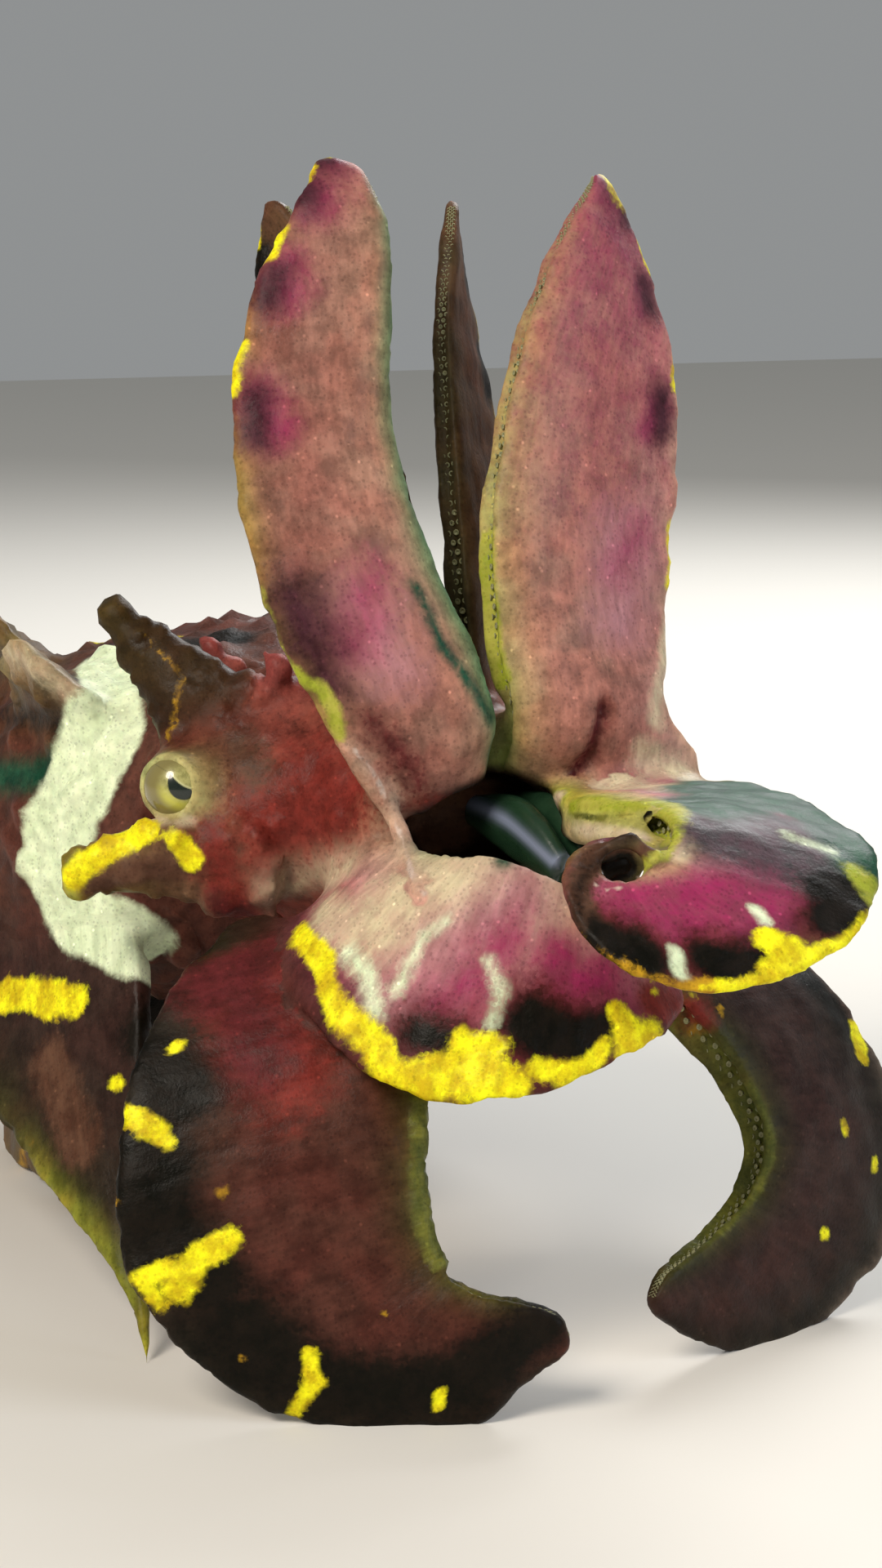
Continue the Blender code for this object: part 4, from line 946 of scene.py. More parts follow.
class Skin:
    """What is known about each point of the skin: its form, and how far along and across the form it lies."""

    def __init__(self, piece):
        self.piece = piece
        self.names = list(sources)
        self.edges = read(piece.data.edges, "vertices", 2, np.int32)
        self.count = len(piece.data.vertices)
        self.neighbours = np.bincount(self.edges.ravel(), minlength=self.count)
        self.places = places_from_mouth(piece)
        forms, alongs, acrosses, clouds, self.trees = [], [], [], [], []
        for number, name in enumerate(self.names):
            rings = sources[name][1]
            cloud = rings.reshape(-1, 3)
            self.trees.append(tree_of(cloud))
            clouds.append(cloud)
            forms.append(np.full(len(cloud), number))
            if rings.ndim == 3:
                rows, points = rings.shape[:2]
                alongs.append(np.repeat(np.linspace(0, 1, rows), points))
                half = points // 2
                across = np.abs(((np.arange(points) + half) % points) - half) / half
                if name.startswith(("arm", "fin", "lobe")):
                    section = GROOVED_SECTION if name.startswith("arm") else PLAIN_SECTION
                    shares = [at for at, _, _ in section]
                    across = np.array(shares + shares[-2:0:-1])
                acrosses.append(np.tile(across, rows))
            else:
                alongs.append(np.zeros(len(cloud)))
                acrosses.append(np.zeros(len(cloud)))
        self.every = tree_of(np.concatenate(clouds))
        self.cloud_form = np.concatenate(forms)
        self.cloud_flow = np.stack((np.concatenate(alongs), np.concatenate(acrosses)), axis=1)
        nearest, _ = nearest_in(self.every, self.places)
        self.form = self.cloud_form[nearest]
        self.along, self.across = self.cloud_flow[nearest].T

    def neighbours_sum(self, a, b, line):
        return np.bincount(a, line[b], self.count) + np.bincount(b, line[a], self.count)

    def averaged(self, values, times, share=1.0):
        """The values, each evened out with its neighbours' this many times."""
        values = np.asarray(values, float)
        flat = values.reshape(self.count, -1)
        weight = np.broadcast_to(np.asarray(share, float).reshape(-1, 1), (self.count, 1))
        for _ in range(times):
            total = np.stack([self.neighbours_sum(*self.edges.T, line) for line in flat.T], axis=1)
            flat = flat + weight * (total / np.maximum(self.neighbours, 1)[:, None] - flat)
        return flat.reshape(values.shape)

    def of(self, *starts):
        """Which points belong to the forms whose names start so."""
        wanted = [number for number, name in enumerate(self.names) if name.startswith(starts)]
        return np.isin(self.form, wanted)

    def even_flow(self):
        """Smooths how far along and across its form each point lies, without mixing the forms."""
        a, b = self.edges.T
        same = self.form[a] == self.form[b]
        a, b = a[same], b[same]
        count = np.maximum(np.bincount(a, minlength=self.count) + np.bincount(b, minlength=self.count), 1)
        for _ in range(FLOW_STEPS):
            for name in ("along", "across"):
                line = getattr(self, name)
                total = self.neighbours_sum(a, b, line)
                setattr(self, name, np.where(total > 0, 0.5 * line + 0.5 * total / count, line))

    def near_joins(self, reach=2.5):
        """1 where two forms grow into each other, falling to 0 a few millimetres away."""
        near = np.zeros(self.count)
        grows_from = {
            "head": ("arm", "brow", "cheek", "funnel", "socket", "thorn"),
            "mantle": ("fin", "lobe", "flap", "head"),
            "arm_3_left": ("curl", "lip_"),
        }
        pairs = []
        for one, starts in grows_from.items():
            pairs += [(one, name) for name in self.names if name.startswith(starts)]
        ring = [f"arm_{n}_right" for n in (1, 2, 3, 4)] + [f"arm_{n}_left" for n in (4, 3, 2, 1)]
        pairs += zip(ring, ring[1:] + ring[:1])
        for pair in pairs:
            for one, other in (pair, pair[::-1]):
                mine = np.where(self.form == self.names.index(one))[0]
                cloud = sources[other][1].reshape(-1, 3)
                places = self.places[mine]
                inside = np.all((places > cloud.min(0) - reach) & (places < cloud.max(0) + reach), axis=1)
                if one.startswith("arm"):
                    inside &= self.along[mine] < ARM_ROOT_SHARE
                mine = mine[inside]
                if len(mine):
                    _, far = nearest_in(self.trees[self.names.index(other)], self.places[mine])
                    near[mine] = np.maximum(near[mine], np.clip(1 - far / reach, 0, 1))
        return smooth_step(near * 1.4)

    def move(self, places):
        self.places = places
        set_places(self.piece, places)


def distance_to_stroke(places, stroke):
    """How far each place is from a line through the stroke's points."""
    stroke = np.array(stroke, float)
    if len(stroke) == 1:
        return np.linalg.norm(places - stroke[0], axis=1)
    best = np.full(len(places), 1e9)
    for start, end in zip(stroke, stroke[1:]):
        way = end - start
        t = np.clip(((places - start) @ way) / max(way @ way, 1e-9), 0, 1)
        best = np.minimum(best, np.linalg.norm(places - start - t[:, None] * way, axis=1))
    return best


def arm_measures(name, along, across):
    """Millimetres along and across an arm, from its shares."""
    stations = np.array(sources[name][2], float)
    middle = curve_through(stations.mean(axis=1), np.linspace(0, 1, 60))
    length = np.concatenate(((0.0,), np.cumsum(np.linalg.norm(np.diff(middle, axis=0), axis=1))))
    width = np.linalg.norm(curve_through(stations[:, 1] - stations[:, 0], np.asarray(along)), axis=1)
    return np.stack((np.interp(along, np.linspace(0, 1, 60), length), across * width), axis=1)


def local_scales(name, share, across):
    """How many millimetres one whole share along, and one across, come to at this place on an arm."""
    stations = np.array(sources[name][2], float)
    ends = curve_through(stations, np.clip(np.array((share - 0.01, share + 0.01)), 0, 1))
    line = ends[:, 0] + (ends[:, 1] - ends[:, 0]) * across
    return np.array((np.linalg.norm(line[1] - line[0]) / 0.02, np.linalg.norm(ends[0, 1] - ends[0, 0])))


def flow_pieces(shape, owner, stroke):
    """The stroke's pieces by their shares along and across one arm, or None where it crosses the roll."""
    _, nearest = zip(*[shape.trees[shape.names.index(owner)].find(place)[:2] for place in stroke])
    first = np.flatnonzero(shape.cloud_form == shape.names.index(owner))[0]
    flow = shape.cloud_flow[np.array(nearest) + first]
    pieces = []
    for k in range(max(len(stroke) - 1, 1)):
        start, end = flow[k], flow[min(k + 1, len(stroke) - 1)]
        scales = local_scales(owner, (start[0] + end[0]) / 2, (start[1] + end[1]) / 2)
        there = np.linalg.norm(np.subtract(stroke[k], stroke[min(k + 1, len(stroke) - 1)]))
        if np.linalg.norm((end - start) * scales) > 1.7 * there + 1.5:
            return None
        pieces.append((start, end, scales))
    return pieces


def mark_values(shape, marks):
    """How strongly each kind of mark lies on each point, 0.5 at its edge."""
    values = {kind: np.zeros(shape.count) for kind in MARK_KINDS}
    body = shape.of("mantle", "flap", "fin", "lobe")
    for kind, radius, soft, *stroke in marks:
        nearest, _ = nearest_in(shape.every, stroke)
        owners = [shape.names[form] for form in shape.cloud_form[nearest]]
        owner = max(sorted(set(owners)), key=owners.count)
        on_arm = owner.startswith("arm")
        pieces = flow_pieces(shape, owner, stroke) if on_arm and len(set(owners)) == 1 else None
        if pieces:
            # A mark on an arm goes round to its other face
            mine = np.where(shape.form == shape.names.index(owner))[0]
            places = np.stack((shape.along[mine], shape.across[mine]), axis=1)
            far = np.full(len(mine), 1e9)
            for start, end, scales in pieces:
                far = np.minimum(far, distance_to_stroke(places * scales, [start * scales, end * scales]))
            value = np.clip(0.5 + (radius - far) / (2 * soft), 0, 1)
            values[kind][mine] = np.maximum(values[kind][mine], value)
            continue
        lines = [stroke]
        if stroke[0][0] < 0 and not on_arm and not owner.startswith(("curl", "lip")):
            lines.append(to_side(stroke, -1))
        for line in lines:
            lowest, highest = np.min(line, axis=0) - radius - soft, np.max(line, axis=0) + radius + soft
            close = np.where(np.all((shape.places > lowest) & (shape.places < highest), axis=1))[0]
            if owner == "mantle":
                close = close[body[close]]
            if len(close):
                value = 0.5 + (radius - distance_to_stroke(shape.places[close], line)) / (2 * soft)
                values[kind][close] = np.maximum(values[kind][close], np.clip(value, 0, 1))
    return values


def body_marks():
    """Marks where the photograph shows nothing: the flanks, the back and the raised arms' upper halves."""
    marks = []

    def on_mantle(kind, radius, soft, *points):
        stroke = [tuple(mantle_side(share, on_side(angle, -1))) for share, angle in points]
        marks.append((kind, radius, soft, *stroke))

    def on_arm(kind, radius, soft, name, *points):
        shares, across = np.array(points).T
        oral, outward, _, width, _ = blade_frame(sources[name][2], shares, (1.0, 1.0))
        stroke = oral + outward * (width * across)[:, None]
        marks.append((kind, radius, soft, *map(tuple, stroke)))

    dashes = ((0.34, 0.05, 1.5), (0.45, 0.03, 1.1), (0.55, 0.07, 1.7), (0.70, 0.03, 1.2), (0.79, 0.08, 1.4))
    for share, long, radius in dashes:
        on_mantle("yellow", radius, 0.9, (share, -0.16), (share + long / 2, -0.1), (share + long, -0.14))
        on_mantle("dusk", 3.2, 2.6, (share + 0.02, 0.12), (share + 0.08, 0.3))
    for share, angle in ((0.52, 0.50), (0.78, 0.62)):
        on_mantle("white", 2.6, 1.1, (share - 0.04, angle), (share + 0.02, angle + 0.16))
        bent = ((share + 0.02, angle + 0.2), (share + 0.08, angle + 0.1), (share + 0.11, angle + 0.2))
        on_mantle("white", 1.7, 1.0, *bent)
    for share, angle in ((0.12, 1.30), (0.34, 1.38), (0.60, 1.34), (0.84, 1.40)):
        on_mantle("black", 2.2, 2.4, (share, angle), (share + 0.05, angle - 0.2))
        on_mantle("yellow", 0.8, 0.8, (share + 0.10, angle - 0.1), (share + 0.11, angle - 0.15))
        on_mantle("gold", 0.6, 0.7, (share + 0.22, angle - 0.5))
    for share in (0.2, 0.42, 0.64):
        on_mantle("cream", 2.2, 2.4, (share, -1.0), (share + 0.1, -1.15))
    # The raised arms' upper halves, with dark lobes inside a yellow margin
    for name in ("arm_2_right", "arm_2_left"):
        for share in (0.5, 0.64, 0.78, 0.9):
            on_arm("magenta", 1.6, 2.4, name, (share, 0.7), (share + 0.03, 0.8))
            on_arm("purple", 1.3, 1.4, name, (share, 0.86), (share + 0.03, 0.88))
            on_arm("yellow", 0.7, 0.5, name, (share + 0.05, 0.97), (share + 0.09, 0.98))
    for name in ("arm_1_right", "arm_1_left"):
        for share in (0.2, 0.38, 0.56, 0.74):
            on_arm("black", 1.2, 1.3, name, (share, 0.8), (share + 0.06, 0.84))
            on_arm("yellow", 0.6, 0.5, name, (share + 0.08, 0.96), (share + 0.13, 0.97))
    for share in (0.12, 0.24):
        on_arm("black", 1.8, 1.4, "arm_4_left", (share, 0.82), (share + 0.06, 0.86))
        on_arm("yellow", 0.9, 0.6, "arm_4_left", (share + 0.07, 0.9), (share + 0.09, 0.84))
    return marks


# The relief in millimetres: raised edges, creases, slow waves of the skin and wrinkles on the arms
RIDGE_HEIGHT, PIT_DEPTH, WAVE_HEIGHT, WRINKLE_HEIGHT = 1.0, 0.8, 0.22, 0.12
# Warts: how far apart they stand, how high they are and the seed of their places
WARTS = ((4.2, 1.0, 1), (1.7, 0.42, 2))
HEAD_WART_SHARE = 0.35


def relief(shape, values):
    """Moves the skin in and out a little: raised edges, creases, wrinkles on the arms, warts on the body."""
    normals = read(shape.piece.data.vertex_normals, "vector", 3)
    rise = RIDGE_HEIGHT * smooth_step(values["ridge"]) - PIT_DEPTH * smooth_step(values["pit"])
    rise += WAVE_HEIGHT * wave(shape.places, 3.2, 71)
    arms = shape.of("arm")
    wrinkles = wave(shape.streaks[arms, :3], 1.6, 72)
    rise[arms] += WRINKLE_HEIGHT * wrinkles * np.clip(shape.along[arms] * 6, 0, 1)
    rough = np.flatnonzero(shape.of("mantle", "head", "brow", "cheek", "flap", "funnel", "thorn"))
    share = np.where(shape.of("head"), HEAD_WART_SHARE, 1.0)
    warts = np.zeros(shape.count)
    for spacing, height, seed in WARTS:
        offset = Vector((seed * 5.1, seed * 2.3, seed * 9.7))
        for k in rough:
            near = noise.voronoi(Vector(shape.places[k]) / spacing + offset)[0][0]
            warts[k] += share[k] * height * max(0.0, 1 - (near / 0.42) ** 2) ** 1.3
    rise += warts
    around_eyes = shape.of("lid", "socket")
    rise[around_eyes] *= 0.15
    moved = shape.places + normals * rise[:, None]
    # Nothing sinks into the floor
    moved[:, 2] = np.maximum(moved[:, 2], -MOUTH_HEIGHT)
    shape.move(moved)
    return warts


# Streaks in the skin: their size along and across an arm, on the raised arms and on the others
RAISED_STREAKS, OTHER_STREAKS = (1.8, 0.55), (0.62, 2.8)

arm_forms()
head_forms()
web_forms()
curled_tip_forms()
body_forms()
fin_forms()
skin = one_skin()
shape = Skin(skin)
joins = shape.near_joins()
shape.move(shape.averaged(shape.places, JOIN_STEPS, joins * 0.7))
for _ in range(2):
    shape.move(shape.averaged(shape.places, 1, 0.5))

shape.even_flow()
base = np.ones((shape.count, 4))
shape.streaks = np.zeros((shape.count, 4))
for number, name in enumerate(shape.names):
    key = max(filter(name.startswith, GROUND_COLOURS), key=len)
    stops, colours = zip(*GROUND_COLOURS[key])
    mine = shape.form == number
    on_blade = name.startswith(("arm", "fin", "lobe"))
    share = shape.across[mine] if on_blade else shape.along[mine]
    if name.startswith("flap"):
        # A flap is pale all round its edge
        rim = np.abs(np.cos(math.pi * shape.across[mine])) ** 2.5
        share = np.maximum(share, rim * smooth_step(3 * share))
    for channel in range(3):
        base[mine, channel] = np.interp(share, stops, [srgb(colour)[channel] for colour in colours])
    along, across = shape.along[mine] * 60.0, shape.across[mine] * 16.0
    if name.startswith("arm"):
        along, across = arm_measures(name, shape.along[mine], shape.across[mine]).T
    if not name.startswith(("arm", "fin")):
        shape.streaks[mine, :3] = shape.places[mine] / 1.1
        continue
    # Streaks run along the raised arms, and from the oral edge to the margin on the others
    long, wide = RAISED_STREAKS if name.startswith(("arm_1", "arm_2")) else OTHER_STREAKS
    shape.streaks[mine, 0] = along / long
    shape.streaks[mine, 1] = across / wide
    shape.streaks[mine, 2] = number * 7.0
base = shape.averaged(base, COLOUR_STEPS, joins * 0.9 + 0.1)
# Painted shade: the skin in the hollow between the arms is darkened towards near black
hollow_shade = np.linalg.norm((shape.places - HOLLOW_CENTRE) / HOLLOW_SIZE, axis=1)
hollow_shade = smooth_step(np.clip((1.25 - hollow_shade) / 0.22, 0, 1))[:, None]
base[:, :3] += hollow_shade * (np.array(srgb("#1d1209")[:3]) - base[:, :3])
photo_marks = [(kind, *mark) for kind, rows in MARKS.items() for mark in rows]
for wide, wide_soft, narrow, narrow_soft, *stroke in DARK_LOBES:
    photo_marks += [("dusk", wide, wide_soft, *stroke), ("black", narrow, narrow_soft, *stroke)]
marks = mark_values(shape, photo_marks + body_marks())
warts = relief(shape, marks)
# The tops of the warts are paler
base[:, :3] *= 1 + 0.45 * warts[:, None]
keep_values(skin, "base_colour", base.T)
keep_values(skin, "streaks", shape.streaks.T)
for number, layer in enumerate(MARK_LAYERS):
    keep_values(skin, f"marks_{number}", [marks[kind] for kind in layer])

flesh = [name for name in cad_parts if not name.startswith(("eye_", "tentacle_"))]
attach(skin, "root")
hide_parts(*flesh)


def set_inputs(node, inputs):
    """Sets a node's inputs, by name or in order: an output is linked, a value or hex colour is set."""
    for socket, value in inputs.items() if isinstance(inputs, dict) else enumerate(inputs):
        if isinstance(value, bpy.types.NodeSocket):
            node.id_data.links.new(value, node.inputs[socket])
        else:
            node.inputs[socket].default_value = srgb(value) if isinstance(value, str) else value


def add_node(tree, kind, inputs=(), output=0, **settings):
    """Adds a node with its settings and inputs, and gives back one of its outputs."""
    made = tree.nodes.new(f"ShaderNode{kind}")
    for name, value in settings.items():
        setattr(made, name, value)
    set_inputs(made, inputs)
    return made.outputs[output]


SMOOTHLY = {"interpolation_type": "SMOOTHSTEP"}
IN_COLOUR = {"data_type": "RGBA"}
TIMES = {"operation": "MULTIPLY"}
TIMES_AND_PLUS = {"operation": "MULTIPLY_ADD"}
# Flesh bends light a little more than the water in it
FLESH_IOR = 1.38


def new_material(name):
    """A material, its shader and the function that adds nodes to it."""
    made = bpy.data.materials.new(name)
    made.use_nodes = True
    return made, made.node_tree.nodes["Principled BSDF"], partial(add_node, made.node_tree)


# Each kind of mark, from the undermost up: attribute and channel, two colours that mingle, how ragged
# its edge is, and how soft
MARK_PAINTS = (
    (2, 0, "#cbbd9b", "#b9a088", 0.4, 0.8),
    (1, 1, "#b07c80", "#9c6a6c", 0.35, 1.0),
    (0, 2, "#932a55", "#87384f", 0.35, 0.95),
    (2, 2, "#2e1319", "#43202a", 0.35, 1.0),
    (1, 2, "#5e2019", "#7a2c24", 0.6, 0.8),
    # Dark red-brown: dark patches of the skin, and painted shade in folds and gaps
    (3, 3, "#451a18", "#5a2022", 0.6, 0.8),
    (3, 2, "#3f3a3c", "#4f3d44", 0.4, 0.9),
    (1, 0, "#0b3525", "#1f4b35", 0.4, 0.8),
    # Brown: brown skin, and painted shade at the back of the hollow between the arms
    (3, 0, "#4a2f22", "#5c4030", 0.6, 0.6),
    (2, 1, "#6a6a2c", "#454a20", 0.5, 0.5),
    # Black: black skin, and painted shade in the creases and the curled tip's hole
    (0, 1, "#090803", "#150f08", 0.5, 0.7),
    (0, 3, "#e0ecc8", "#c9d8b2", 0.35, 0.5),
    (1, 3, "#b9901e", "#8a651c", 0.9, 0.5),
    (3, 1, "#8f992a", "#aaa648", 0.6, 0.6),
    (0, 0, "#f4f01c", "#c2a812", 0.6, 0.45),
    # Pale rims: a painted highlight on thin edges
    (2, 3, "#c9b4a6", "#b09a8c", 0.2, 0.5),
)


def skin_material():
    """Wet skin of a cuttlefish: soft, a little clear, and speckled with small sacs of pigment."""
    made, shader, node = new_material("wet_skin")
    place = node("TexCoord", output="Object")
    # Cloudy noises: how many millimetres across their largest forms are, their detail and roughness
    noises = ((2.4, 6.0, 0.68), (1.5, 3.0, 0.6), (0.32, 3.0, 0.65), (5.0, 3.0, 0.5))
    clouds, ragged, fine, warm = (
        node("TexNoise", {"Vector": place, "Scale": 1 / (grain * MM), "Detail": detail, "Roughness": rough})
        for grain, detail, rough in noises
    )
    flow = node("Attribute", output="Vector", attribute_name="streaks")
    streaks = node("TexNoise", {"Vector": flow, "Scale": 1.0, "Detail": 4.0})
    # Sacs of pigment and pale drops, by their distance apart in millimetres
    sacs, drops = (node("TexVoronoi", {"Vector": place, "Scale": 1 / (apart * MM)}) for apart in (0.34, 0.85))
    sac = node("SeparateColor", [sacs.node.outputs["Color"]])
    channels = []
    for number in range(len(MARK_LAYERS)):
        layer = node("Attribute", attribute_name=f"marks_{number}")
        channels.append([*node("SeparateColor", [layer]).node.outputs, layer.node.outputs["Alpha"]])

    # The edges of the marks: cloudy, drawn out along the streaks and grainy with single sacs of pigment
    edge = -0.72
    for value, share in ((ragged, 0.8), (streaks, 0.4), (sac, 0.24)):
        edge = node("Math", (value, share, edge), **TIMES_AND_PLUS)

    colour = node("Attribute", attribute_name="base_colour")
    mottle = node("MapRange", (clouds, 0.32, 0.68, 0.66, 1.3), **SMOOTHLY)
    colour = node("VectorMath", (colour, mottle), **TIMES)
    reddish = node("VectorMath", (colour, (1.12, 0.82, 0.84)), **TIMES)
    share = node("MapRange", (warm, 0.42, 0.62, 0.0, 0.6), **SMOOTHLY)
    colour = node("Mix", {0: share, 6: colour, 7: reddish}, 2, **IN_COLOUR)
    mingling = node("MapRange", (clouds, 0.35, 0.65), **SMOOTHLY)
    for layer, channel, main, other, raggedness, soft in MARK_PAINTS:
        value = channels[layer][channel]
        pushed = node("Math", (edge, raggedness, value), **TIMES_AND_PLUS)
        share = node("MapRange", (pushed, 0.5 - soft / 2, 0.5 + soft / 2), **SMOOTHLY)
        # Where no mark lies the noise alone must not show
        there = node("MapRange", (value, 0.0, 0.3), **SMOOTHLY)
        share = node("Math", (share, there), **TIMES)
        paint = node("Mix", {0: mingling, 6: main, 7: other}, 2, **IN_COLOUR)
        colour = node("Mix", {0: share, 6: colour, 7: paint}, 2, **IN_COLOUR)
    # Small dark sacs, each a little different, and sparse pale drops
    dot = node("MapRange", (sacs, 0.18, 0.42), **SMOOTHLY)
    least = node("MapRange", (sac, 0.3, 0.9, 1.0, 0.78), **SMOOTHLY)
    dot = node("Math", (dot, least), operation="MAXIMUM")
    pick = node("SeparateColor", [drops.node.outputs["Color"]], 1)
    chosen = node("MapRange", (pick, 0.5, 1.0, 0.0, 0.8), **SMOOTHLY)
    drop = node("MapRange", (drops, 0.05, 0.24, 1.0, 0.0), **SMOOTHLY)
    drop = node("Math", (drop, chosen), **TIMES)
    drop = node("Math", (drop, 1.0), operation="ADD")
    streak = node("MapRange", (streaks, 0.3, 0.7, 0.88, 1.14), **SMOOTHLY)
    for factor in (streak, dot, drop):
        colour = node("VectorMath", (colour, factor), **TIMES)
    height = 0.0
    for value, share in ((ragged, 0.7), (streaks, 0.4), (fine, 0.5)):
        height = node("Math", (value, share, height), **TIMES_AND_PLUS)
    inputs = {
        "Base Color": colour,
        "Roughness": node("MapRange", (clouds, 0.3, 0.7, 0.34, 0.52), **SMOOTHLY),
        "IOR": FLESH_IOR,
        "Specular IOR Level": 0.16,
        "Subsurface Weight": 0.15,
        "Subsurface Radius": (1.0, 0.45, 0.3),
        "Subsurface Scale": 0.8 * MM,
        "Normal": node("Bump", {"Height": height, "Strength": 0.45, "Distance": 0.2 * MM}),
    }
    set_inputs(shader, inputs)
    return made


def set_finish(piece, material):
    piece.data.materials.append(material)
    piece.data.shade_smooth()


skin.data.materials.clear()
set_finish(skin, skin_material())

# The pupil: where it looks for the left eye, how far it is turned, and its half width in eye radii
PUPIL_WAY, PUPIL_TURN, PUPIL_WIDE = (0.36, -0.92, 0.10), 0.55, 0.46


def eyeball(label, side, finish):
    """An eye turned forwards to both arms' reach, with a drooping flap of iris over a bent pupil."""
    nothing_selected()
    bpy.ops.mesh.primitive_uv_sphere_add(
        segments=160,
        ring_count=110,
        radius=EYE_RADIUS * MM,
        location=eye_centre(side) * MM + MOUTH,
        rotation=Vector(eye_gaze(side)).to_track_quat("Z", "Y").to_euler(),
    )
    eye = bpy.context.object
    eye.name = f"eyeball_{label}"
    bpy.ops.object.transform_apply(location=True, rotation=True, scale=True)
    ahead = unit(to_side(PUPIL_WAY, side))
    across = unit(np.cross((0.0, 0.0, 1.0), ahead))
    up = np.cross(ahead, across)
    way = unit(places_from_mouth(eye) - eye_centre(side))
    x, y = way @ across * side, way @ up
    # The pupil is a half moon whose outer corner is the lower one, under a flap of iris
    cos, sin = math.cos(PUPIL_TURN), math.sin(PUPIL_TURN)
    x, y = x * cos + y * sin, y * cos - x * sin
    bend = np.clip(np.abs(x) / PUPIL_WIDE, 0, 1)
    flap = 0.11 * bend**1.8 + 0.08
    low = 0.19 - 0.50 * np.sqrt(np.maximum(1 - bend**2, 0))
    inside = np.minimum(flap - y, y - low)
    in_front = way @ ahead > 0
    pupil = np.clip(inside / 0.03 + 0.5, 0, 1) * in_front
    edge = np.exp(-(((y - flap) / 0.045) ** 2)) * (np.abs(x) < PUPIL_WIDE * 1.05) * in_front
    below = np.clip(-(y + 0.16) * 3.5, 0, 1)
    keep_values(eye, "iris", (pupil, edge, below, np.hypot(x, y)))
    set_finish(eye, finish)
    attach(eye, "root")
    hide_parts(f"eye_{label}")


def eye_material():
    """The clear front of an eye over a shining iris: very smooth and wet, so it gives a small sharp light."""
    made, shader, node = new_material("wet_eye")
    place = node("TexCoord", output="Object")
    layer = node("Attribute", attribute_name="iris")
    pupil, edge, below = node("SeparateColor", [layer]).node.outputs
    specks = node("TexNoise", {"Vector": place, "Scale": 1 / (0.5 * MM), "Detail": 4.0, "Roughness": 0.7})
    mottled = node("MapRange", (specks, 0.42, 0.62))
    outer = node("MapRange", (layer.node.outputs["Alpha"], 0.42, 0.75), **SMOOTHLY)
    colour = "#aaa768"
    shares = (mottled, below, outer, edge, pupil)
    for share, other in zip(shares, ("#8a874e", "#c2c04c", "#7a7140", "#d9d9a0", "#0c1a10")):
        colour = node("Mix", {0: share, 6: colour, 7: other}, 2, **IN_COLOUR)
    clear = {"Coat Weight": 1.0, "Coat Roughness": 0.03, "Coat IOR": FLESH_IOR}
    set_inputs(shader, {"Base Color": colour, "Roughness": 0.25, "IOR": FLESH_IOR, **clear})
    return made


def club_material():
    """Wet dark muscle of a tentacle's club, with a pale blue-grey highlight painted along its top."""
    made, shader, node = new_material("wet_club")
    place = node("TexCoord", output="Object")
    cloud = node("TexNoise", {"Vector": place, "Scale": 1 / (1.6 * MM), "Detail": 4.0, "Roughness": 0.6})
    painted_highlight = node("SeparateColor", [node("Attribute", attribute_name="painted_highlight")])
    colour = "#0f2416"
    # The cloud mottles the dark muscle; the blue-grey colour is a painted highlight
    for share, other in ((cloud, "#27412d"), (painted_highlight, "#7f89a0")):
        colour = node("Mix", {0: share, 6: colour, 7: other}, 2, **IN_COLOUR)
    bump = node("Bump", {"Height": cloud, "Strength": 0.3, "Distance": 0.1 * MM})
    set_inputs(shader, {"Base Color": colour, "Roughness": 0.22, "IOR": FLESH_IOR, "Normal": bump})
    return made


def clubs():
    """The ends of the two feeding tentacles, ready in the middle of the crown."""
    finish = club_material()
    for side, label in SIDES:
        path = [(2.6 + 1.5 * side, 4.0, 0.4), (3.0 + 1.5 * side, -2.4, -0.2), (3.2 + 1.4 * side, -8.0, -2.6)]
        rings = limb_rings(path, (1.2, 1.5, 1.0), (1.4, 2.6, 1.6), (1, 0, 0), 60, 48)
        club = tube(f"club_{label}", rings)
        places = places_from_mouth(club)
        spine = rings.mean(axis=1)
        up = places[:, 2] - np.interp(places[:, 1], spine[::-1, 1], spine[::-1, 2])
        # A painted highlight: a pale band along the top of the right club only
        highlight_band = np.exp(-(((up - 0.9) / 0.5) ** 2)) * (side < 0)
        keep_values(club, "painted_highlight", [highlight_band] * 4)
        set_finish(club, finish)
        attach(club, "root")
        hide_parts(f"tentacle_{label}")


def sucker_form():
    """One sucker of unit radius that opens along +z: a short stalk, a soft rim and a sunk floor."""
    nothing_selected()
    stalk = {"vertices": 9, "radius": 0.62, "depth": 0.9, "location": (0, 0, -0.45)}
    bpy.ops.mesh.primitive_cylinder_add(end_fill_type="NGON", **stalk)
    cup = bpy.context.object
    select_where(cup, lambda face: face.normal.z > 0.9, "FACE")
    # Each ring of the rim: how far it rises, and how much wider it is than the last
    for rise, widen in ((0.0, 1.55), (0.25, 0.92), (0.0, 0.68), (-0.42, 0.75)):
        bpy.ops.mesh.extrude_region_move(TRANSFORM_OT_translate={"value": (0, 0, rise)})
        bpy.ops.transform.resize(value=(widen, widen, 1.0))
    bpy.ops.object.mode_set(mode="OBJECT")
    bpy.ops.object.transform_apply(location=True, rotation=True, scale=True)
    return cup


# Suckers: radius at an arm's root, share of it that is lost by the tip, and millimetres from pair to pair
SUCKER_RADIUS, SUCKER_TAPER, SUCKER_SPACING = 0.36, 0.62, 0.84
# The shares of an arm's length at which they begin and end
SUCKERS_FROM, SUCKERS_TO = 0.10, 0.975


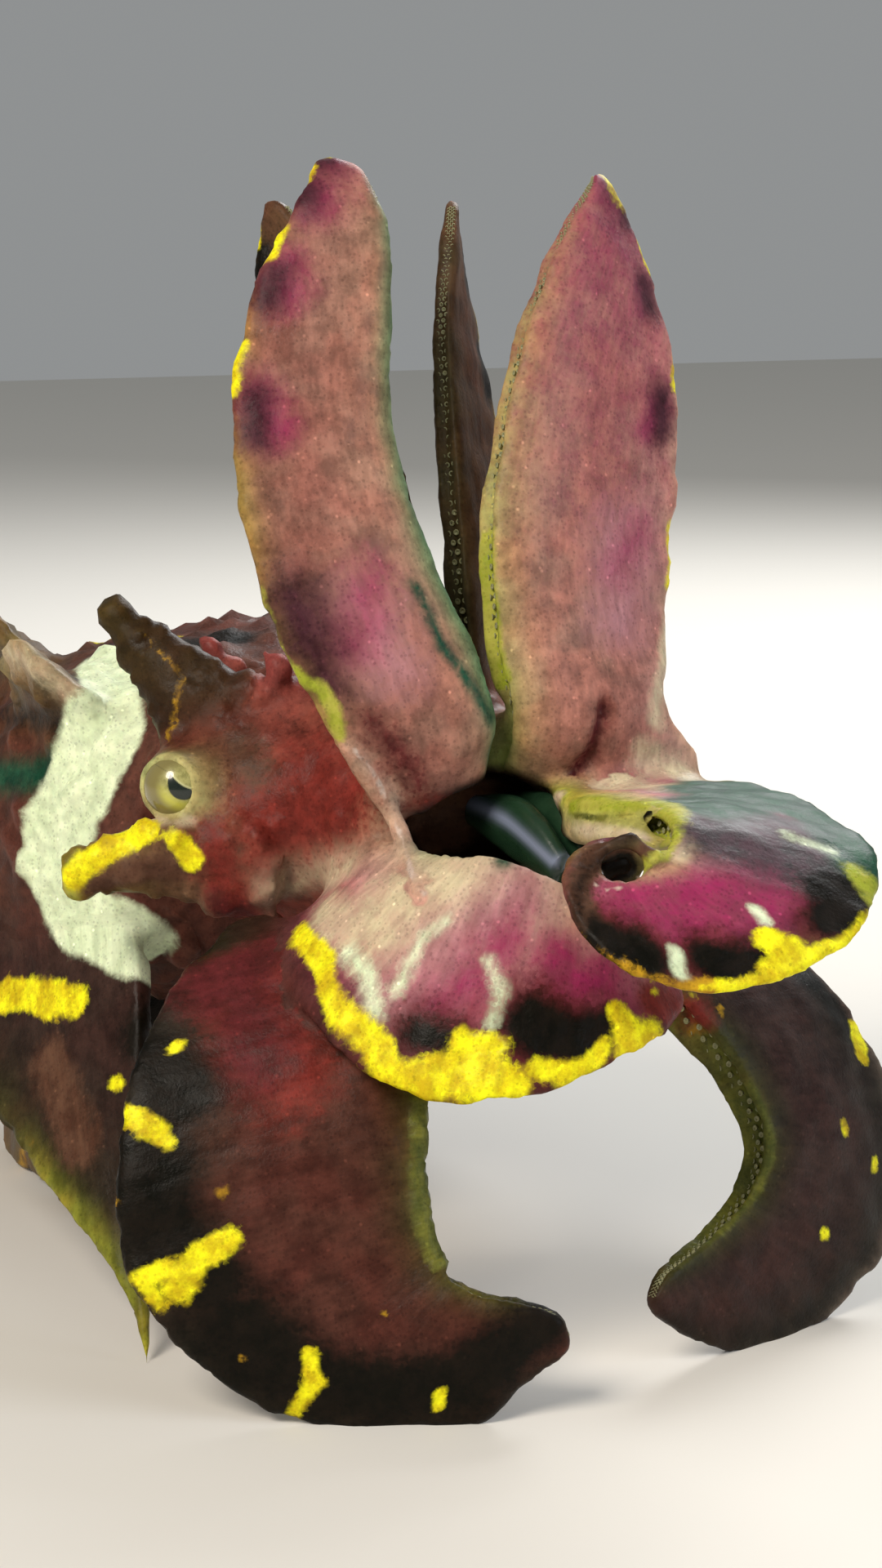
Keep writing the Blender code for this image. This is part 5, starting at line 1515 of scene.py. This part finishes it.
def suckers():
    """The suckers of every arm, in four rows on the floor of its groove, smaller to the tip."""
    pattern = sucker_form()
    unit_cup = vertex_places(pattern)
    joined = bmesh.new()
    for name, (_, _, stations, muscle) in sources.items():
        if stations is None:
            continue
        length = np.linalg.norm(np.diff(np.array(stations)[:, 0], axis=0), axis=1).sum()
        shares = []
        share = SUCKERS_FROM
        while share < SUCKERS_TO:
            shares.append(share)
            share += SUCKER_SPACING * (1 - SUCKER_TAPER * share) / length
        shares = np.array(shares)
        oral, outward, face, _, body = blade_frame(stations, shares, muscle)
        for k, share in enumerate(shares):
            radius = SUCKER_RADIUS * (1 - SUCKER_TAPER * share)
            for row in (-1.5, 0.5) if k % 2 else (-0.5, 1.5):
                axis = unit(face[k] * row * 0.28 - outward[k])
                side = unit(np.cross(axis, np.cross(face[k], outward[k])))
                ahead = np.cross(axis, side)
                seat = oral[k] + outward[k] * body[k] * 0.17 + face[k] * row * body[k] * 0.125
                cup = unit_cup * radius
                places = seat + cup[:, :1] * side + cup[:, 1:2] * ahead + cup[:, 2:] * axis
                set_places(pattern, places)
                joined.from_mesh(pattern.data)
    mesh = bpy.data.meshes.new("suckers")
    joined.to_mesh(mesh)
    joined.free()
    made = new_object("suckers", mesh)
    bpy.data.objects.remove(pattern)
    set_finish(made, sucker_material())
    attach(made, "root")


def sucker_material():
    """Pale, firm skin of a sucker, with a faint green tint and a wet shine."""
    made, shader, node = new_material("wet_sucker")
    place = node("TexCoord", output="Object")
    cloud = node("TexNoise", {"Vector": place, "Scale": 1 / (2.0 * MM), "Detail": 3.0, "Roughness": 0.6})
    colour = node("Mix", {0: cloud, 6: "#98966e", 7: "#74775a"}, 2, **IN_COLOUR)
    soft = {"Subsurface Weight": 0.15, "Subsurface Radius": (1.0, 0.7, 0.4), "Subsurface Scale": 0.5 * MM}
    set_inputs(shader, {"Base Color": colour, "Roughness": 0.35, "IOR": FLESH_IOR, **soft})
    return made


wet_eye = eye_material()
eyeball("right", -1, wet_eye)
eyeball("left", 1, wet_eye)
clubs()
suckers()


def camera_at_photo_view():
    """The camera stands where the photograph was taken from, low and to the animal's right."""
    azimuth, elevation, distance = math.radians(-30.0), math.radians(10.0), 260.0
    level = math.cos(elevation)
    back = Vector((math.sin(azimuth) * level, -math.cos(azimuth) * level, math.sin(elevation)))
    right = Vector((math.cos(azimuth), math.sin(azimuth), 0.0))
    up = back.cross(right)
    place = Vector(MOUTH) + (back * distance - right * 4.0 + up * 3.333) * MM
    lens = bpy.data.cameras.new("camera")
    lens.lens, lens.sensor_width, lens.sensor_fit, lens.clip_start = 73.125, 36.0, "AUTO", 0.001
    camera = new_object("camera", lens)
    camera.matrix_world = Matrix.Translation(place) @ Matrix((right, up, back)).transposed().to_4x4()
    bpy.context.scene.camera = camera
    return right, back


def soft_light(name, place, target, size, power, colour):
    light = bpy.data.lights.new(name, "AREA")
    light.shape, light.size, light.energy, light.color = "DISK", size, power, srgb(colour)[:3]
    holder = new_object(name, light)
    holder.location = place
    holder.rotation_euler = (Vector(place) - Vector(target)).to_track_quat("Z", "Y").to_euler()


def floor():
    nothing_selected()
    bpy.ops.mesh.primitive_plane_add(size=3.0, location=(0.0, 0.0, 0.0))
    ground = bpy.context.object
    ground.name = "floor"
    paper, shader, _ = new_material("matt_paper")
    set_inputs(shader, {"Base Color": "#dedbd4", "Roughness": 0.9})
    ground.data.materials.append(paper)


right, back = camera_at_photo_view()
floor()
# Each light: metres towards the camera, to its right and up from the mouth, then size, power and colour
lights = {
    "key": (0.5, -0.35, 0.45, 0.35, 6.0, "#fff4e6"),
    "fill": (0.3, 0.6, 0.25, 0.5, 2.0, "#eaf2ff"),
    "rim": (-0.5, 0.2, 0.5, 0.4, 3.5, "#ffffff"),
}
for name, (nearer, beside, above, size, power, colour) in lights.items():
    place = Vector(MOUTH) + back * nearer + right * beside + Vector((0, 0, above))
    soft_light(name, place, MOUTH, size, power, colour)
world = bpy.data.worlds.new("studio")
world.use_nodes = True
set_inputs(world.node_tree.nodes["Background"], {"Color": "#e6e9ea", "Strength": 0.35})
bpy.context.scene.world = world
bpy.context.scene.view_settings.view_transform = "Standard"
